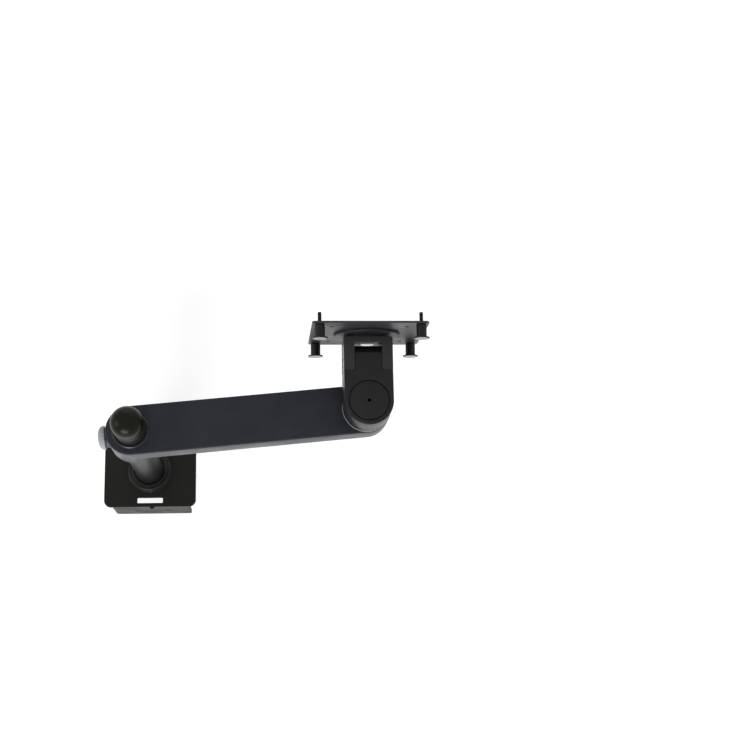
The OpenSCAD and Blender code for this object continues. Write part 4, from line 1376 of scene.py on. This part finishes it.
@dataclass
class Stage:
    """Pale floor, soft light and the camera above the arm.

    Attributes:
        eye: Where the camera stands, in metres.
        look: Direction in which it looks.
        up: Direction of the top of its picture.
        lens_mm: Focal length in millimetres.
        sensor_mm: Width of the sensor in millimetres.
        sight: Farthest distance that the camera sees, in metres.
        sky: Strength of the soft light all round.
        sky_seen: Strength of the sky as the camera and mirror-like surfaces see it.
        floor_half: Half the floor's width, in metres.
        floor_grey: The floor's colour.
        floor_roughness: The floor's roughness.
        floor_lift: Light that the floor gives off where the camera sees it.
        floor_gap: Gap to the floor where the clamp's knob is fully down, in metres.
        lamps: The soft lamps.
    """

    eye: Triple = (0.1299, -0.2646, 1.5488)
    look: Triple = (0.0871, 0.2381, -0.9673)
    up: Triple = (0.0028, 0.971, 0.2392)
    lens_mm: float = 62.92
    sensor_mm: float = 36.0
    sight: float = 50.0
    sky: float = 0.62
    sky_seen: float = 1.0
    floor_half: float = 6.0
    floor_grey: float = 0.86
    floor_roughness: float = 0.9
    floor_lift: float = 0.35
    floor_gap: float = 0.0005
    lamps: tuple[Lamp, ...] = (
        Lamp("near_softbox", (-0.3, -1.6, 0.8), (0.9, 0.3), 18.0),
        Lamp("left_softbox", (-1.7, -0.3, 1.1), (0.8, 0.8), 5.0),
        Lamp("far_softbox", (0.2, 1.8, 0.8), (2.0, 1.0), 5.0),
    )

    def build(self) -> None:
        """Puts up the world, the floor, the lamps and the camera."""
        self.world()
        self.floor()
        middle = (np.array(CAD_BOX[0]) + np.array(CAD_BOX[1])) / 2
        for lamp in self.lamps:
            lamp.build(middle)
        self.camera()
        bpy.context.scene.view_settings.view_transform = "Standard"

    def world(self) -> None:
        """Even pale light all round, white where the camera or a reflection sees it."""
        world = bpy.data.worlds.new("studio")
        world.use_nodes = True
        nodes, links = world.node_tree.nodes, world.node_tree.links
        light = nodes["Background"]
        light.inputs["Color"].default_value = WHITE
        light.inputs["Strength"].default_value = self.sky
        seen = nodes.new("ShaderNodeBackground")
        seen.inputs["Strength"].default_value = self.sky_seen
        mix = nodes.new("ShaderNodeMixShader")
        links.new(seen_rays(world.node_tree), mix.inputs["Fac"])
        links.new(light.outputs["Background"], mix.inputs[1])
        links.new(seen.outputs["Background"], mix.inputs[2])
        links.new(mix.outputs["Shader"], nodes["World Output"].inputs["Surface"])
        bpy.context.scene.world = world

    def floor(self) -> None:
        """Wide plain floor, lifted towards white where the camera sees it."""
        half = self.floor_half
        travel = next(j for j in frame["joints"] if j["name"] == "clamp_travel")["range_m"]
        level = float(CAD_BOX[0][2]) - max(0.0, -travel[0]) - self.floor_gap
        corners = np.array([(-half, -half, level), (half, -half, level), (half, half, level),
                            (-half, half, level)])
        floor = new_piece("floor", corners, [(0, 1, 2, 3)])
        material = bpy.data.materials.new("floor_paint")
        material.use_nodes = True
        paint = material.node_tree.nodes["Principled BSDF"]
        grey = self.floor_grey
        paint.inputs["Base Color"].default_value = (grey, grey, grey, 1.0)
        paint.inputs["Roughness"].default_value = self.floor_roughness
        paint.inputs["Emission Color"].default_value = WHITE
        seen = seen_rays(material.node_tree)
        lift = maths(material.node_tree, Operation.MULTIPLY, seen, self.floor_lift)
        material.node_tree.links.new(lift, paint.inputs["Emission Strength"])
        floor.data.materials.append(material)

    def camera(self) -> None:
        """Camera high above the arm."""
        data = bpy.data.cameras.new("camera")
        data.lens = self.lens_mm
        data.sensor_width = self.sensor_mm
        data.clip_end = self.sight
        camera = bpy.data.objects.new("camera", data)
        camera.matrix_world = facing(np.array(self.eye), np.array(self.look), np.array(self.up))
        bpy.context.scene.collection.objects.link(camera)
        bpy.context.scene.camera = camera


def main() -> None:
    """Builds the stage and every sub-assembly in order."""
    Stage().build()
    dress_solids()
    parts = [
        RoundedSolids("clamp_base", edges={"base_plate": 0.5, "clamp_bracket": 0.6}),
        Post("clamp_base"), BracketScrews("clamp_base"), Clamp("clamp_spindle"),
        Collar("height_collar"), LockKnob("lock_spindle"), Rivet("tilt_yoke"),
        PartingLine("tilt_yoke"),
        RoundedSolids("arm", edges={"beam": 0.4, "elbow_washer": 0.2}),
        RoundedSolids("head", edges={"head_body": 0.5, "elbow_cap": 0.25}),
        RoundedSolids("tilt_yoke", edges={"yoke": 0.6}),
        RoundedSolids("screen_plate", edges={"vesa_plate": 0.3, "rotation_disc": 0.3}),
    ]
    parts += [ThumbScrew(f"thumb_{n}", node=f"thumb_screw_{n}", joint=f"thumb_turn_{n}")
              for n in (1, 2, 3, 4)]
    for part in parts:
        part.build()
        part.report()


if __name__ == "__main__":
    main()
